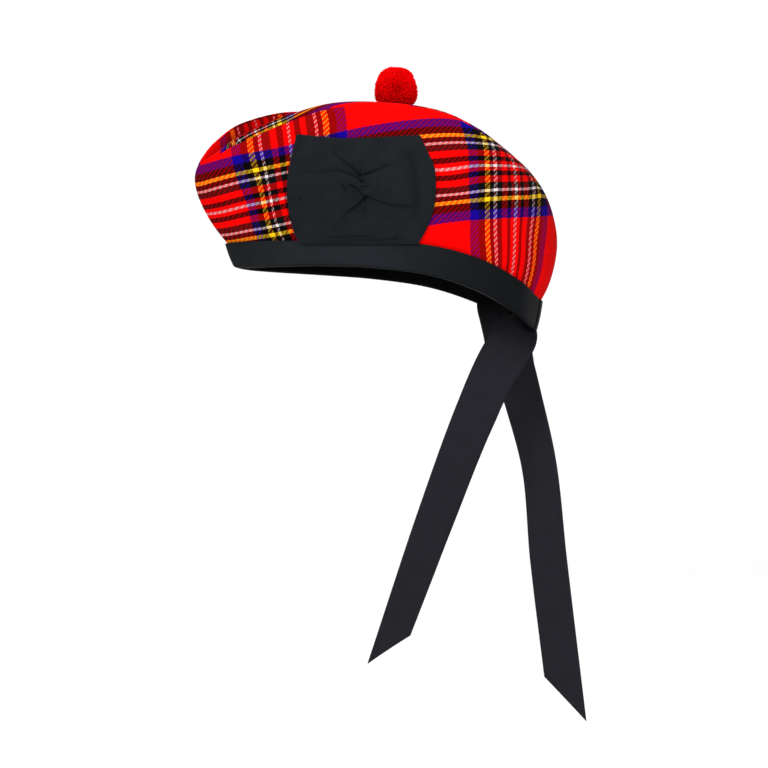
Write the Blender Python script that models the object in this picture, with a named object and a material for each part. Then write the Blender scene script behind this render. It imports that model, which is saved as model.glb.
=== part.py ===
"""A glengarry: a boat-shaped cloth cap with a folded top, a ribbon binding, two ribbon tails,
a twisted ribbon cockade on its left side and a pompom.

Metres, +Z up. The wearer looks along -X, the left side with the cockade is on -Y, and the
origin is where the head sits, in the middle of the opening.
"""
import math
from collections import namedtuple

import bmesh
import bpy
import numpy as np
from mathutils import Vector
from mathutils.bvhtree import BVHTree

# Crown
RIM_LENGTH = 0.2325          # upper edge of the binding, front seam to back join
RIM_WIDTH = 0.154            # upper edge of the binding, side to side
RIM_FRONT = -0.1174          # where the binding's upper edge starts at the front seam
CROWN_HEIGHT = 0.1335        # top of the left ridge above the head seat
CLOTH = 0.002                # wool cloth with its seam allowance
GAP = 0.0003                 # between neighbouring pieces
SEAM_SHARE = 0.8             # how far each side of a ridge seam stands off it, of the gap
RIM_ROLL = math.radians(3.2)     # the cap is worn lower on the right side
HANDLE_LOW = 0.30            # how far up the belly starts, of a section's height
HANDLE_HIGH = 0.27           # how far down the shoulder ends, of a section's height
TIP_WIDTH = 0.007            # where the top panel's two points stop
TOP_RELIEF = 0.010           # the height that the top panel's columns are shares of

# Binding
RIBBON = 0.001               # grosgrain, with its hem
BAND_WIDTH = 0.019           # one face of the folded binding
JOIN_SECTIONS = 0.8          # each side of the back join that its tab covers

# Tails
TAIL_WIDTH = 0.034
FRONT_TAIL_DROP = 0.2380     # below the binding, to the middle of its cut end
BACK_TAIL_DROP = 0.2849
FRONT_TAIL_CUT = math.radians(38)
BACK_TAIL_CUT = math.radians(46)

# Cockade and pompom
COCKADE_LENGTH = 0.0900
COCKADE_HEIGHT = 0.0755
COCKADE_THICKNESS = 0.0022
COCKADE_RELIEF = 0.004
COCKADE_FRONT = -0.0640      # front edge of the cockade
POMPOM_RADIUS = 0.0148
POMPOM_ALONG = 0.008
POMPOM_OUT = -0.010
POMPOM_CENTRE_ABOVE = 0.0125     # its middle above the cloth that it is sewn to
LOCK_DEPTH = 0.10            # groove between locks, of the radius

# Mesh density
SECTION_STEPS = 4            # per table row, along the crown
BAND_STEPS = 2               # up the cloth inside the binding
WALL_STEPS = 8               # binding to ridge
TOP_STEPS = 12               # ridge to ridge
TAIL_STEPS = 30              # rings along a tail
TAIL_SPREAD = 1.6            # above 1 sets the rings closer near the binding
TAIL_COLUMNS = 4
CUT_FROM = 0.85              # the rows of a tail that share the slant of its cut end
COCKADE_STEPS = (22, 16)

# Eleven sections from the front seam to the back seam. Along and up are shares of RIM_LENGTH
# and CROWN_HEIGHT, out is a share of half of RIM_WIDTH, inset is a share of BAND_WIDTH.
BandRow = namedtuple("BandRow", "along out top bottom inset")
BAND = (
    BandRow(0.000, 0.000, 0.255, 0.123, 0.35),
    BandRow(0.021, 0.085, 0.259, 0.120, 0.32),
    BandRow(0.069, 0.240, 0.264, 0.121, 0.24),
    BandRow(0.157, 0.480, 0.268, 0.126, 0.12),
    BandRow(0.300, 0.753, 0.264, 0.129, 0.06),
    BandRow(0.473, 0.935, 0.259, 0.118, 0.04),
    BandRow(0.647, 1.000, 0.238, 0.077, 0.04),
    BandRow(0.806, 0.920, 0.161, -0.014, 0.06),
    BandRow(0.923, 0.665, 0.050, -0.124, 0.12),
    BandRow(0.983, 0.325, -0.041, -0.204, 0.20),
    BandRow(1.000, 0.000, -0.063, -0.226, 0.24),
)

# The wall between binding and ridge: how far belly and shoulder stand out, of its height.
WallRow = namedtuple("WallRow", "belly shoulder")
WALL = (
    WallRow(0.250, 0.170),
    WallRow(0.210, 0.165),
    WallRow(0.150, 0.160),
    WallRow(0.110, 0.160),
    WallRow(0.070, 0.170),
    WallRow(0.050, 0.185),
    WallRow(0.050, 0.200),
    WallRow(0.060, 0.230),
    WallRow(0.110, 0.260),
    WallRow(0.160, 0.310),
    WallRow(0.190, 0.335),
)

# The ridge seams, whose right side is pushed in and up at the front.
RidgeRow = namedtuple("RidgeRow", "along up left_out right_out")
RIDGE = (
    RidgeRow(-0.082, 0.691, 0.000, 0.000),
    RidgeRow(-0.070, 0.702, 0.070, 0.055),
    RidgeRow(-0.033, 0.727, 0.175, 0.135),
    RidgeRow(0.047, 0.801, 0.285, 0.215),
    RidgeRow(0.189, 0.906, 0.345, 0.290),
    RidgeRow(0.347, 0.986, 0.545, 0.520),
    RidgeRow(0.527, 1.000, 0.650, 0.650),
    RidgeRow(0.679, 0.964, 0.585, 0.585),
    RidgeRow(0.793, 0.876, 0.415, 0.415),
    RidgeRow(0.869, 0.787, 0.210, 0.210),
    RidgeRow(0.913, 0.732, 0.000, 0.000),
)

# The top panel above the left ridge, as shares of TOP_RELIEF: its crest beside that ridge, its
# middle crease, its right half and the right ridge.
TopRow = namedtuple("TopRow", "crest crease right_half right_ridge")
TOP = (
    TopRow(0.00, 0.00, 0.00, 0.00),
    TopRow(0.05, -0.05, 0.20, 0.50),
    TopRow(0.18, -0.60, 0.30, 1.28),
    TopRow(0.45, -1.60, 0.15, 1.65),
    TopRow(0.50, -1.70, 0.00, 1.10),
    TopRow(0.38, -0.70, -0.10, 0.00),
    TopRow(0.16, 0.20, 0.30, -0.30),
    TopRow(0.08, 0.15, 0.05, -0.50),
    TopRow(0.08, 0.12, 0.03, -0.40),
    TopRow(0.04, 0.08, 0.05, -0.20),
    TopRow(0.00, 0.00, 0.00, 0.00),
)
TOP_COLUMNS_AT = (-1.0, -0.72, 0.0, 0.5, 1.0)

# The tails below the binding: how far each row lies down, forward and to the left of where the
# ribbon leaves it, as shares of the tail's drop, how free it is of its seat, and which way its
# face is turned there, in degrees from the left.
TailRow = namedtuple("TailRow", "down forward left free turn")
FRONT_TAIL = (
    TailRow(0.000, 0.016, -0.009, 0.25, 10),
    TailRow(0.026, 0.020, -0.009, 0.30, 10),
    TailRow(0.042, 0.022, -0.006, 0.85, 6),
    TailRow(0.060, 0.027, -0.005, 1.00, 4),
    TailRow(0.095, 0.043, -0.006, 1.00, 4),
    TailRow(0.156, 0.078, -0.009, 1.00, 18),
    TailRow(0.279, 0.132, -0.015, 1.00, 25),
    TailRow(0.587, 0.249, -0.028, 1.00, 35),
    TailRow(1.000, 0.395, -0.033, 1.00, 48),
)
BACK_TAIL = (
    TailRow(0.000, 0.001, 0.006, 0.50, -56),
    TailRow(0.030, -0.001, 0.014, 0.80, -62),
    TailRow(0.060, -0.018, 0.018, 1.00, -44),
    TailRow(0.093, -0.040, 0.017, 1.00, -30),
    TailRow(0.148, -0.055, 0.023, 1.00, -32),
    TailRow(0.226, -0.076, 0.034, 1.00, -37),
    TailRow(0.372, -0.112, 0.055, 1.00, -43),
    TailRow(0.642, -0.140, 0.090, 1.00, -40),
    TailRow(1.000, -0.182, 0.131, 1.00, -41),
)
FRONT_TAIL_SECTION = 9.0     # where on the binding each tail is sewn
BACK_TAIL_SECTION = 7.70
TAIL_CLEARANCE = 0.0015      # off the inside of the binding
TAIL_TUCK = 0.010            # its end below the binding's upper edge

# The cockade's outline: how far each edge stands out of the rectangle, along the edge, as
# shares of its length or height.
EdgeRow = namedtuple("EdgeRow", "at out")
COCKADE_TOP = (EdgeRow(0.0, 0.0), EdgeRow(0.2, -0.03), EdgeRow(0.42, -0.045), EdgeRow(0.7, -0.03),
               EdgeRow(0.9, -0.005), EdgeRow(1.0, 0.0))
COCKADE_FORE = (EdgeRow(0.0, -0.043), EdgeRow(0.1, 0.020), EdgeRow(0.4, 0.078),
                EdgeRow(0.7, 0.072), EdgeRow(0.9, 0.035), EdgeRow(1.0, 0.0))
COCKADE_AFT = (EdgeRow(0.0, -0.017), EdgeRow(0.12, 0.043), EdgeRow(0.4, 0.120),
               EdgeRow(0.6, 0.127), EdgeRow(0.9, 0.061), EdgeRow(1.0, 0.0))

# Its folds: from one place to another on the rectangle, how high of COCKADE_RELIEF, how wide.
FoldRow = namedtuple("FoldRow", "start end height width")
FOLDS = (
    FoldRow((0.02, 0.55), (0.42, 0.52), 0.75, 0.17),
    FoldRow((0.58, 0.52), (0.98, 0.55), 0.75, 0.18),
    FoldRow((0.40, 0.60), (0.66, 0.42), 1.00, 0.10),
    FoldRow((0.36, 0.74), (0.48, 0.62), -0.55, 0.05),
    FoldRow((0.22, 0.66), (0.46, 0.60), -0.45, 0.05),
    FoldRow((0.52, 0.64), (0.80, 0.70), -0.50, 0.05),
    FoldRow((0.40, 0.52), (0.84, 0.36), -0.45, 0.05),
    FoldRow((0.50, 0.42), (0.34, 0.24), -0.50, 0.05),
)

COLOURS = {
    "left_side_panel": (0.80, 0.02, 0.02, 0.85),
    "right_side_panel": (0.80, 0.02, 0.02, 0.85),
    "top_panel": (0.70, 0.02, 0.02, 0.85),
    "rim_band": (0.012, 0.013, 0.015, 0.60),
    "band_join": (0.012, 0.013, 0.015, 0.60),
    "tail_ribbon_front": (0.018, 0.018, 0.022, 0.55),
    "tail_ribbon_back": (0.018, 0.018, 0.022, 0.55),
    "cockade": (0.012, 0.014, 0.016, 0.65),
    "pompom": (0.85, 0.01, 0.01, 0.95),
}


def clear_scene():
    """Remove the objects that Blender starts with."""
    for obj in list(bpy.data.objects):
        bpy.data.objects.remove(obj, do_unlink=True)


def spline(rows, s, mirrored=()):
    """Read a table at section s on a smooth curve, rounding off over the back seam.

    The columns named in mirrored change sign past the back seam, the others come back.
    """
    table = np.array(rows, dtype=float)
    after = table[-2].copy()
    for name in mirrored:
        after[rows[0]._fields.index(name)] *= -1
    table = np.vstack((2 * table[0] - table[1], table, after))
    i = min(int(s), len(rows) - 2)
    f = s - i
    a, b, c, d = table[i:i + 4]
    values = b + 0.5 * f * (c - a + f * (2 * a - 5 * b + 4 * c - d + f * (3 * (b - c) + d - a)))
    return type(rows[0])(*values)


def smooth_through(places, values, at):
    """A smooth curve through values at places that are not evenly spaced."""
    slopes = np.gradient(np.array(values, dtype=float), np.array(places, dtype=float))
    i = min(max(int(np.searchsorted(places, at)) - 1, 0), len(places) - 2)
    width = places[i + 1] - places[i]
    f = (at - places[i]) / width
    start = (1 + 2 * f) * (1 - f) ** 2 * values[i] + f * (1 - f) ** 2 * width * slopes[i]
    end = f * f * (3 - 2 * f) * values[i + 1] + f * f * (f - 1) * width * slopes[i + 1]
    return start + end


def last_section():
    return len(BAND) - 1


def outward(s, side):
    """The level direction out of the crown at section s, straight ahead at both seams."""
    step = 0.01
    before = spline(BAND, max(s - step, 0), ("out",))
    after = spline(BAND, min(s + step, last_section()), ("out",))
    along = (after.along - before.along) * RIM_LENGTH
    out = (after.out - before.out) * RIM_WIDTH / 2
    near_seam = min(1.0, spline(BAND, s, ("out",)).out / BAND[2].out)
    if s > last_section() / 2:
        near_seam = 1.0
    direction = np.array((-out, side * along * near_seam, 0.0))
    if s >= last_section():
        direction = np.array((1.0, 0.0, 0.0))
    return direction / np.linalg.norm(direction)


def band_points(s, side):
    """The binding's outer face at section s: its upper and its lower edge."""
    row = spline(BAND, s, ("out",))
    half = row.out * RIM_WIDTH / 2
    drop = 2 * half * math.tan(RIM_ROLL) if side > 0 else 0.0
    x = RIM_FRONT + row.along * RIM_LENGTH
    upper = np.array((x, side * half, row.top * CROWN_HEIGHT - drop))
    fall = (row.top - row.bottom) * CROWN_HEIGHT
    lower = upper - outward(s, side) * row.inset * BAND_WIDTH - np.array((0, 0, fall))
    return upper, lower


def ridge_point(s, side):
    """The seam between side panel and top panel at section s."""
    row = spline(RIDGE, s, ("left_out", "right_out"))
    lift = spline(TOP, s).right_ridge * TOP_RELIEF if side > 0 else 0.0
    out = row.right_out if side > 0 else row.left_out
    x = RIM_FRONT + row.along * RIM_LENGTH
    return np.array((x, side * out * RIM_WIDTH / 2, row.up * CROWN_HEIGHT + lift))


def wall_section(s, side):
    """Points up the outside of a side panel, from inside the binding to the ridge."""
    out = outward(s, side)
    upper, lower = band_points(s, side)
    tuck = out * (RIBBON + GAP)
    foot = lower - tuck + np.array((0, 0, RIBBON + 2 * GAP))
    start = upper - tuck
    end = ridge_point(s, side)
    row = spline(WALL, s)
    height = end[2] - start[2]
    belly = start + height * (row.belly * out + np.array((0, 0, HANDLE_LOW)))
    shoulder = end + height * (row.shoulder * out - np.array((0, 0, HANDLE_HIGH)))
    points = [foot + (start - foot) * i / BAND_STEPS for i in range(BAND_STEPS)]
    for i in range(WALL_STEPS + 1):
        t = i / WALL_STEPS
        points.append((1 - t) ** 3 * start + 3 * t * (1 - t) ** 2 * belly
                      + 3 * t * t * (1 - t) * shoulder + t ** 3 * end)
    return points


def top_section(s):
    """Points across the top panel at section s, from the left ridge to the right one."""
    left = ridge_point(s, -1)
    right = ridge_point(s, 1)
    row = spline(TOP, s)
    heights = (0.0, row.crest, row.crease, row.right_half, row.right_ridge)
    points = []
    for i in range(TOP_STEPS + 1):
        v = 2 * i / TOP_STEPS - 1
        y = left[1] + (right[1] - left[1]) * (v + 1) / 2
        rise = smooth_through(TOP_COLUMNS_AT, heights, v) * TOP_RELIEF
        points.append(np.array((left[0], y, left[2] + rise)))
    return points


def normals_of(grid):
    """Unit normals of a grid of points, from its two directions."""
    along = np.gradient(grid, axis=0)
    across = np.gradient(grid, axis=1)
    cross = np.cross(along, across)
    return cross / np.linalg.norm(cross, axis=2, keepdims=True)


def section_places():
    count = last_section() * SECTION_STEPS
    return [i / SECTION_STEPS for i in range(count + 1)]


def ridge_mitres(wall_normals, top, top_normals, side):
    """Where the inner faces of side panel and top panel meet, and the way across their seam."""
    both = wall_normals + top_normals
    both /= np.linalg.norm(both, axis=1, keepdims=True)
    reach = CLOTH / np.sum(both * wall_normals, axis=1)
    ridge = np.array([ridge_point(s, side) for s in section_places()])
    shift = -both * reach[:, None]
    room = 0.4 * np.abs(ridge[:, 1])
    shift[:, 1] = np.clip(shift[:, 1], -room, room)
    across = np.cross(np.gradient(ridge, axis=0), both)
    across /= np.linalg.norm(across, axis=1, keepdims=True)
    middle = top[:, TOP_STEPS // 2] - ridge
    facing = np.sign(np.sum(across * middle, axis=1))
    facing[facing == 0] = 1.0
    return ridge + shift, across * facing[:, None] * SEAM_SHARE * GAP


def mesh_object(name, vertices, faces):
    """A named object with its own material, its faces turned out."""
    mesh = bpy.data.meshes.new(name)
    mesh.from_pydata([tuple(v) for v in vertices], [], faces)
    bm = bmesh.new()
    bm.from_mesh(mesh)
    bmesh.ops.triangulate(bm, faces=bm.faces[:])
    if bm.calc_volume(signed=True) < 0:
        bmesh.ops.reverse_faces(bm, faces=bm.faces[:])
    bm.to_mesh(mesh)
    bm.free()
    mesh.shade_smooth()
    mesh.set_sharp_from_angle(angle=math.radians(40))
    obj = bpy.data.objects.new(name, mesh)
    bpy.context.scene.collection.objects.link(obj)
    mesh.materials.append(material_for(name))
    return obj


def material_for(name):
    red, green, blue, roughness = COLOURS[name]
    material = bpy.data.materials.new(name)
    material.use_nodes = True
    shader = material.node_tree.nodes["Principled BSDF"]
    shader.inputs["Base Color"].default_value = (red, green, blue, 1.0)
    shader.inputs["Roughness"].default_value = roughness
    shader.inputs["Metallic"].default_value = 0.0
    return material


def sheet_solid(name, outer, inner):
    """A closed sheet between two grids of points."""
    rows, columns = outer.shape[:2]
    size = rows * columns
    vertices = list(outer.reshape(size, 3)) + list(inner.reshape(size, 3))
    faces = []
    for i in range(rows - 1):
        for j in range(columns - 1):
            a = i * columns + j
            b = a + columns
            faces.append((a, b, b + 1, a + 1))
            faces.append((size + a, size + a + 1, size + b + 1, size + b))
    border = list(range(columns))
    border += [i * columns + columns - 1 for i in range(1, rows)]
    border += [(rows - 1) * columns + j for j in range(columns - 2, -1, -1)]
    border += [i * columns for i in range(rows - 2, 0, -1)]
    for a, b in zip(border, border[1:] + border[:1]):
        faces.append((b, b + size, a + size, a))
    return mesh_object(name, vertices, faces)


def ring_solid(name, sections, closed):
    """A solid swept through equal sections, either round a loop or with two flat ends."""
    count = len(sections)
    sides = len(sections[0])
    vertices = [point for section in sections for point in section]
    faces = []
    for i in range(count if closed else count - 1):
        for j in range(sides):
            k = (j + 1) % sides
            n = (i + 1) % count
            faces.append((i * sides + j, i * sides + k, n * sides + k, n * sides + j))
    if not closed:
        faces.append(tuple(range(sides))[::-1])
        faces.append(tuple((count - 1) * sides + j for j in range(sides)))
    return mesh_object(name, vertices, faces)


def hold_off_seams(points, side):
    """Keep a side panel on its own side of the front and back seams."""
    points[..., 1] = side * np.maximum(side * points[..., 1], GAP / 2)
    return points


def make_crown():
    """The two side panels and the top panel, mitred along both ridges."""
    places = section_places()
    walls = {side: np.array([wall_section(s, side) for s in places]) for side in (-1, 1)}
    top = np.array([top_section(s) for s in places])
    # Both ends of the top panel are a point: they are opened a little, to give it a direction.
    spread = top.copy()
    for end in (0, -1):
        spread[end, :, 1] = np.linspace(-1, 1, TOP_STEPS + 1) * CLOTH
    top_normals = normals_of(spread)
    if top_normals[len(places) // 2, TOP_STEPS // 2, 2] < 0:
        top_normals = -top_normals
    mitres = {}
    panels = {}
    for side, name in ((-1, "left_side_panel"), (1, "right_side_panel")):
        wall = walls[side]
        normals = normals_of(wall)
        if normals[len(places) // 2, BAND_STEPS, 1] * side < 0:
            normals = -normals
        ridge_column = 0 if side < 0 else TOP_STEPS
        mitres[side] = ridge_mitres(normals[:, -1], top, top_normals[:, ridge_column], side)
        meeting, across = mitres[side]
        inner = wall - normals * CLOTH
        inner[:, -1] = meeting - across
        outer = wall.copy()
        outer[:, -1] -= across
        panels[side] = sheet_solid(name, hold_off_seams(outer, side), hold_off_seams(inner, side))
    make_top_panel(top, top_normals, mitres)
    return panels


def make_top_panel(top, normals, mitres):
    """The gusset between the ridges, thinned towards its two points, where it stops short."""
    width = top[:, -1, 1] - top[:, 0, 1]
    keep = [i for i in range(len(top)) if width[i] > TIP_WIDTH]
    thinned = np.clip(width[keep] / (4 * TIP_WIDTH), 0.0, 1.0)[:, None]
    outer = top[keep].copy()
    drop = thinned * CLOTH / np.clip(normals[keep][..., 2], 0.6, 1.0)
    left, left_across = (values[keep] for values in mitres[-1])
    right, right_across = (values[keep] for values in mitres[1])
    left = outer[:, 0] + (left - outer[:, 0]) * thinned
    right = outer[:, -1] + (right - outer[:, -1]) * thinned
    inner = outer.copy()
    share = np.linspace(0, 1, TOP_STEPS + 1)
    inner[..., 1] = left[:, None, 1] + (right - left)[:, None, 1] * share[None, :]
    inner[..., 2] -= drop
    inner[:, 0] = left
    inner[:, -1] = right
    for grid in (outer, inner):
        grid[:, 0] += left_across
        grid[:, -1] += right_across
    return sheet_solid("top_panel", outer, inner)


def band_profile(s, side, cover):
    """The binding's folded section at s. With cover it is the tab that wraps the binding."""
    upper, lower = band_points(s, side)
    out = outward(s, side)
    up = upper - lower
    up /= np.linalg.norm(up)
    height = np.linalg.norm(upper - lower)
    depth = 2 * (RIBBON + GAP) + CLOTH
    if cover:
        lower = lower + out * (RIBBON + GAP) - up * (RIBBON + GAP)
        depth += 2 * (RIBBON + GAP)
        height += RIBBON + GAP
    slot_floor = RIBBON + GAP / 2
    inner_wall = depth + RIBBON
    shape = ((0, 0), (0, height), (RIBBON, height), (RIBBON, slot_floor),
             (depth, slot_floor), (depth, height), (inner_wall, height), (inner_wall, 0))
    return [lower - out * inward + up * rise for inward, rise in shape]


def make_band():
    places = section_places()
    ring = [(s, -1) for s in places] + [(s, 1) for s in places[-2:0:-1]]
    return ring_solid("rim_band", [band_profile(s, side, False) for s, side in ring], True)


def make_join():
    """The tab over the binding's closing seam, at the back."""
    last = last_section()
    steps = 3
    fan = [last - JOIN_SECTIONS * (1 - i / steps) for i in range(steps + 1)]
    ring = [(s, -1) for s in fan] + [(s, 1) for s in fan[-2::-1]]
    return ring_solid("band_join", [band_profile(s, side, True) for s, side in ring], False)


def tail_seat(section, side):
    """Where a tail lies against the inside of the binding: the middle of its upper and its lower
    edge on a straight chord, its turn, and how far the binding bows out beyond that chord."""
    depth = 2 * (RIBBON + GAP) + CLOTH + RIBBON + RIBBON / 2 + TAIL_CLEARANCE
    if section > last_section() - 2 * JOIN_SECTIONS:
        depth += RIBBON + GAP
    reach = 0.0
    span = 0.0
    while span < TAIL_WIDTH:
        reach += 0.02
        corners = []
        for s in (section - reach, section, min(section + reach, last_section())):
            corners.append([point - outward(s, side) * depth for point in band_points(s, side)])
        span = np.linalg.norm(corners[2][1] - corners[0][1])
    upper = (corners[0][0] + corners[2][0]) / 2
    lower = (corners[0][1] + corners[2][1]) / 2
    bow = np.linalg.norm((corners[1][1] - lower)[:2])
    chord = corners[2][1] - corners[0][1]
    turn = math.degrees(math.atan2(chord[1], chord[0]))
    return upper, lower, turn, bow


def tail_frames(rows, drop, section, side):
    """Middle line, width, face and length directions and bow of a tail, from its table."""
    upper, lower, seat_turn, bow = tail_seat(section, side)
    lean = (upper - lower) * (1 - TAIL_TUCK / np.linalg.norm(upper - lower)) / drop
    top = TailRow(-lean[2], -lean[0], -lean[1], 0.0, 0.0)
    rows = (top,) + rows
    places = [row.down for row in rows]
    points = []
    turns = []
    bows = []
    for i in range(TAIL_STEPS + 1):
        t = top.down + (1 - top.down) * (i / TAIL_STEPS) ** TAIL_SPREAD
        down, forward, left, free, turn = (smooth_through(places, [row[c] for row in rows], t)
                                           for c in range(5))
        points.append(lower + drop * np.array((-forward, -left, -down)))
        turns.append(math.radians(seat_turn * (1 - free) + turn * free))
        bows.append(-side * bow * (1 - min(1.0, max(0.0, free))))
    tangents = np.gradient(np.array(points), axis=0)
    tangents /= np.linalg.norm(tangents, axis=1, keepdims=True)
    result = []
    for point, turn, tangent, bow in zip(points, turns, tangents, bows):
        face = np.array((math.sin(turn), -math.cos(turn), 0.0))
        face -= tangent * np.dot(face, tangent)
        face /= np.linalg.norm(face)
        result.append((point, np.cross(face, tangent), face, tangent, bow))
    return result


def make_tail(name, rows, drop, section, side, cut):
    """A ribbon, bowed where it is sewn to the binding, its free end cut at a slant."""
    frames = tail_frames(rows, drop, section, side)
    half = TAIL_WIDTH / 2
    across = [2 * j / TAIL_COLUMNS - 1 for j in range(TAIL_COLUMNS + 1)]
    border = [(a, 1) for a in across] + [(a, -1) for a in reversed(across)]
    sections = []
    for i, (point, wide, face, tangent, bow) in enumerate(frames):
        slant = math.tan(cut) * max(0.0, i / TAIL_STEPS - CUT_FROM) / (1 - CUT_FROM)
        section_points = []
        for a, lift in border:
            depth = lift * RIBBON / 2 + bow * (1 - a * a)
            section_points.append(point + (wide + tangent * slant) * a * half + face * depth)
        sections.append(section_points)
    return ring_solid(name, sections, False)


def surface_of(*objects):
    """A tree of the objects' faces, to seat a piece on them."""
    vertices = []
    polygons = []
    for obj in objects:
        first = len(vertices)
        vertices += [v.co.copy() for v in obj.data.vertices]
        polygons += [[first + i for i in p.vertices] for p in obj.data.polygons]
    return BVHTree.FromPolygons(vertices, polygons)


def edge_at(rows, at):
    return smooth_through([row.at for row in rows], [row.out for row in rows], at)


def fold_height(u, v):
    """How far the cockade's folds stand out at a place on its rectangle."""
    height = 0.35
    for fold in FOLDS:
        start = np.array(fold.start)
        line = np.array(fold.end) - start
        place = np.array((u, v)) - start
        share = min(1.0, max(0.0, float(np.dot(place, line) / np.dot(line, line))))
        distance = np.linalg.norm(place - share * line)
        height += fold.height * math.exp(-(distance / fold.width) ** 2)
    rim = min(u, 1 - u, v, 1 - v) / 0.12
    return max(0.0, height) * min(1.0, max(0.0, rim))


def band_top_at(x):
    """Height of the binding's upper edge on the left side at a place along the cap."""
    best = min(section_places(), key=lambda s: abs(band_points(s, -1)[0][0] - x))
    return band_points(best, -1)[0][2]


def make_cockade(panel):
    """The bow of folded ribbon, seated on the left side panel."""
    tree = surface_of(panel)
    columns, rows = COCKADE_STEPS
    outer = np.zeros((columns + 1, rows + 1, 3))
    inner = np.zeros_like(outer)
    foot = max(band_top_at(COCKADE_FRONT + COCKADE_LENGTH * i / 8) for i in range(9)) + 4 * GAP
    for i in range(columns + 1):
        for j in range(rows + 1):
            u, v = i / columns, j / rows
            fore = edge_at(COCKADE_FORE, v)
            aft = edge_at(COCKADE_AFT, v)
            x = COCKADE_FRONT + COCKADE_LENGTH * (u - fore * (1 - u) + aft * u)
            z = foot + COCKADE_HEIGHT * v * (1 + edge_at(COCKADE_TOP, u))
            hit = tree.ray_cast(Vector((x, -RIM_WIDTH, z)), Vector((0, 1, 0)))[0]
            seat = hit.y - 3 * GAP
            inner[i, j] = (x, seat, z)
            front = COCKADE_THICKNESS + fold_height(u, v) * COCKADE_RELIEF
            outer[i, j] = (x, seat - front, z)
    return sheet_solid("cockade", outer, inner)


def make_pompom(top):
    """A ball of locks, flat where it sits on the cloth."""
    tree = surface_of(top)
    above = Vector((POMPOM_ALONG, POMPOM_OUT, 2 * CROWN_HEIGHT))
    seat = tree.ray_cast(above, Vector((0, 0, -1)))[0]
    centre = seat + Vector((0, 0, POMPOM_CENTRE_ABOVE))
    coarse = bmesh.new()
    bmesh.ops.create_icosphere(coarse, subdivisions=3, radius=1.0)
    locks = [v.co.normalized() for v in coarse.verts]
    coarse.free()
    bm = bmesh.new()
    bmesh.ops.create_icosphere(bm, subdivisions=4, radius=1.0)
    nearness = math.cos(math.radians(1))
    for vertex in bm.verts:
        direction = vertex.co.normalized()
        on_lock = max(direction.dot(lock) for lock in locks) > nearness
        radius = POMPOM_RADIUS * (1.0 if on_lock else 1.0 - LOCK_DEPTH)
        place = centre + direction * radius
        start = Vector((place.x, place.y, above.z))
        floor = tree.ray_cast(start, Vector((0, 0, -1)))[0]
        place.z = max(place.z, floor.z + 2 * GAP)
        vertex.co = place
    vertices = [v.co.copy() for v in bm.verts]
    faces = [tuple(v.index for v in face.verts) for face in bm.faces]
    bm.free()
    return mesh_object("pompom", vertices, faces)


def main():
    clear_scene()
    panels = make_crown()
    make_band()
    make_join()
    make_tail("tail_ribbon_front", FRONT_TAIL, FRONT_TAIL_DROP, FRONT_TAIL_SECTION, -1,
              -FRONT_TAIL_CUT)
    make_tail("tail_ribbon_back", BACK_TAIL, BACK_TAIL_DROP, BACK_TAIL_SECTION, 1,
              BACK_TAIL_CUT)
    make_cockade(panels[-1])
    make_pompom(bpy.data.objects["top_panel"])


main()
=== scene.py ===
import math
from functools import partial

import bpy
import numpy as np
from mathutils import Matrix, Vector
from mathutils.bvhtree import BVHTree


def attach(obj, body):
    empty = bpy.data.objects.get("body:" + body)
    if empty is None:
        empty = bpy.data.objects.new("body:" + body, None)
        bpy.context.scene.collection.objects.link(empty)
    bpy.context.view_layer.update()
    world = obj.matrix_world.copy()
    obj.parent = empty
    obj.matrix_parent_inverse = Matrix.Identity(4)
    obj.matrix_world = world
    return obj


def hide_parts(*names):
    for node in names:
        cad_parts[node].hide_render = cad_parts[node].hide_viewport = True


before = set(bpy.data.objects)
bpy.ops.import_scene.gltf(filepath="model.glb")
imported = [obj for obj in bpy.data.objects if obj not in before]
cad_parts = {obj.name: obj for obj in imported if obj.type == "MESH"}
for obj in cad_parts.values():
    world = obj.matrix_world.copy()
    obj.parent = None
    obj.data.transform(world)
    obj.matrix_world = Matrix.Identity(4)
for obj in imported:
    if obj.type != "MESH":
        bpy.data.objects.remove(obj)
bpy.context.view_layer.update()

# %% [markdown]
# # A glengarry, piece by piece
#
# A glengarry is a boat-shaped cap of tartan cloth. Two side panels and a long top panel are
# sewn along two ridges, a black ribbon binds the rim, two ribbon tails hang at the back, and a
# twisted black cockade and a red pompom are sewn on. The solids of the cap are already loaded
# as a fixed frame. This script dresses them: each solid is replaced by a finer piece in the
# same place, so no fitting is needed. All lengths are in metres, unless a name ends in _mm.

print("nodes:", sorted(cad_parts))

# %% [markdown]
# ## The studio
#
# The cap is seen straight from its left side, from two degrees above, with a long lens, so it
# hardly tapers. A camera far away with a narrow view gives the same. It aims a little below the
# rim, because the tails hang down.

# %% Camera
EYE_DISTANCE = 2.2
EYE_ELEVATION = math.radians(2.0)
AIM = Vector((-0.0007, 0.0, -0.069))
VIEW_WIDTH = 0.5645

camera = bpy.data.objects.new("studio_camera", bpy.data.cameras.new("studio_camera"))
bpy.context.scene.collection.objects.link(camera)
toward_eye = Vector((0.0, -math.cos(EYE_ELEVATION), math.sin(EYE_ELEVATION)))
camera.location = AIM + toward_eye * EYE_DISTANCE
camera.rotation_euler = (-toward_eye).to_track_quat("-Z", "Y").to_euler()
camera.data.lens = camera.data.sensor_width * EYE_DISTANCE / VIEW_WIDTH
bpy.context.scene.camera = camera
bpy.context.scene.view_settings.view_transform = "Standard"
print("lens in mm:", round(camera.data.lens, 1))

# %% [markdown]
# Soft light comes from big lamps: a wide one in front and above on the left, a weaker one on the
# right, one straight above that lifts the crown, and a white sky that fills the rest.

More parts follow.
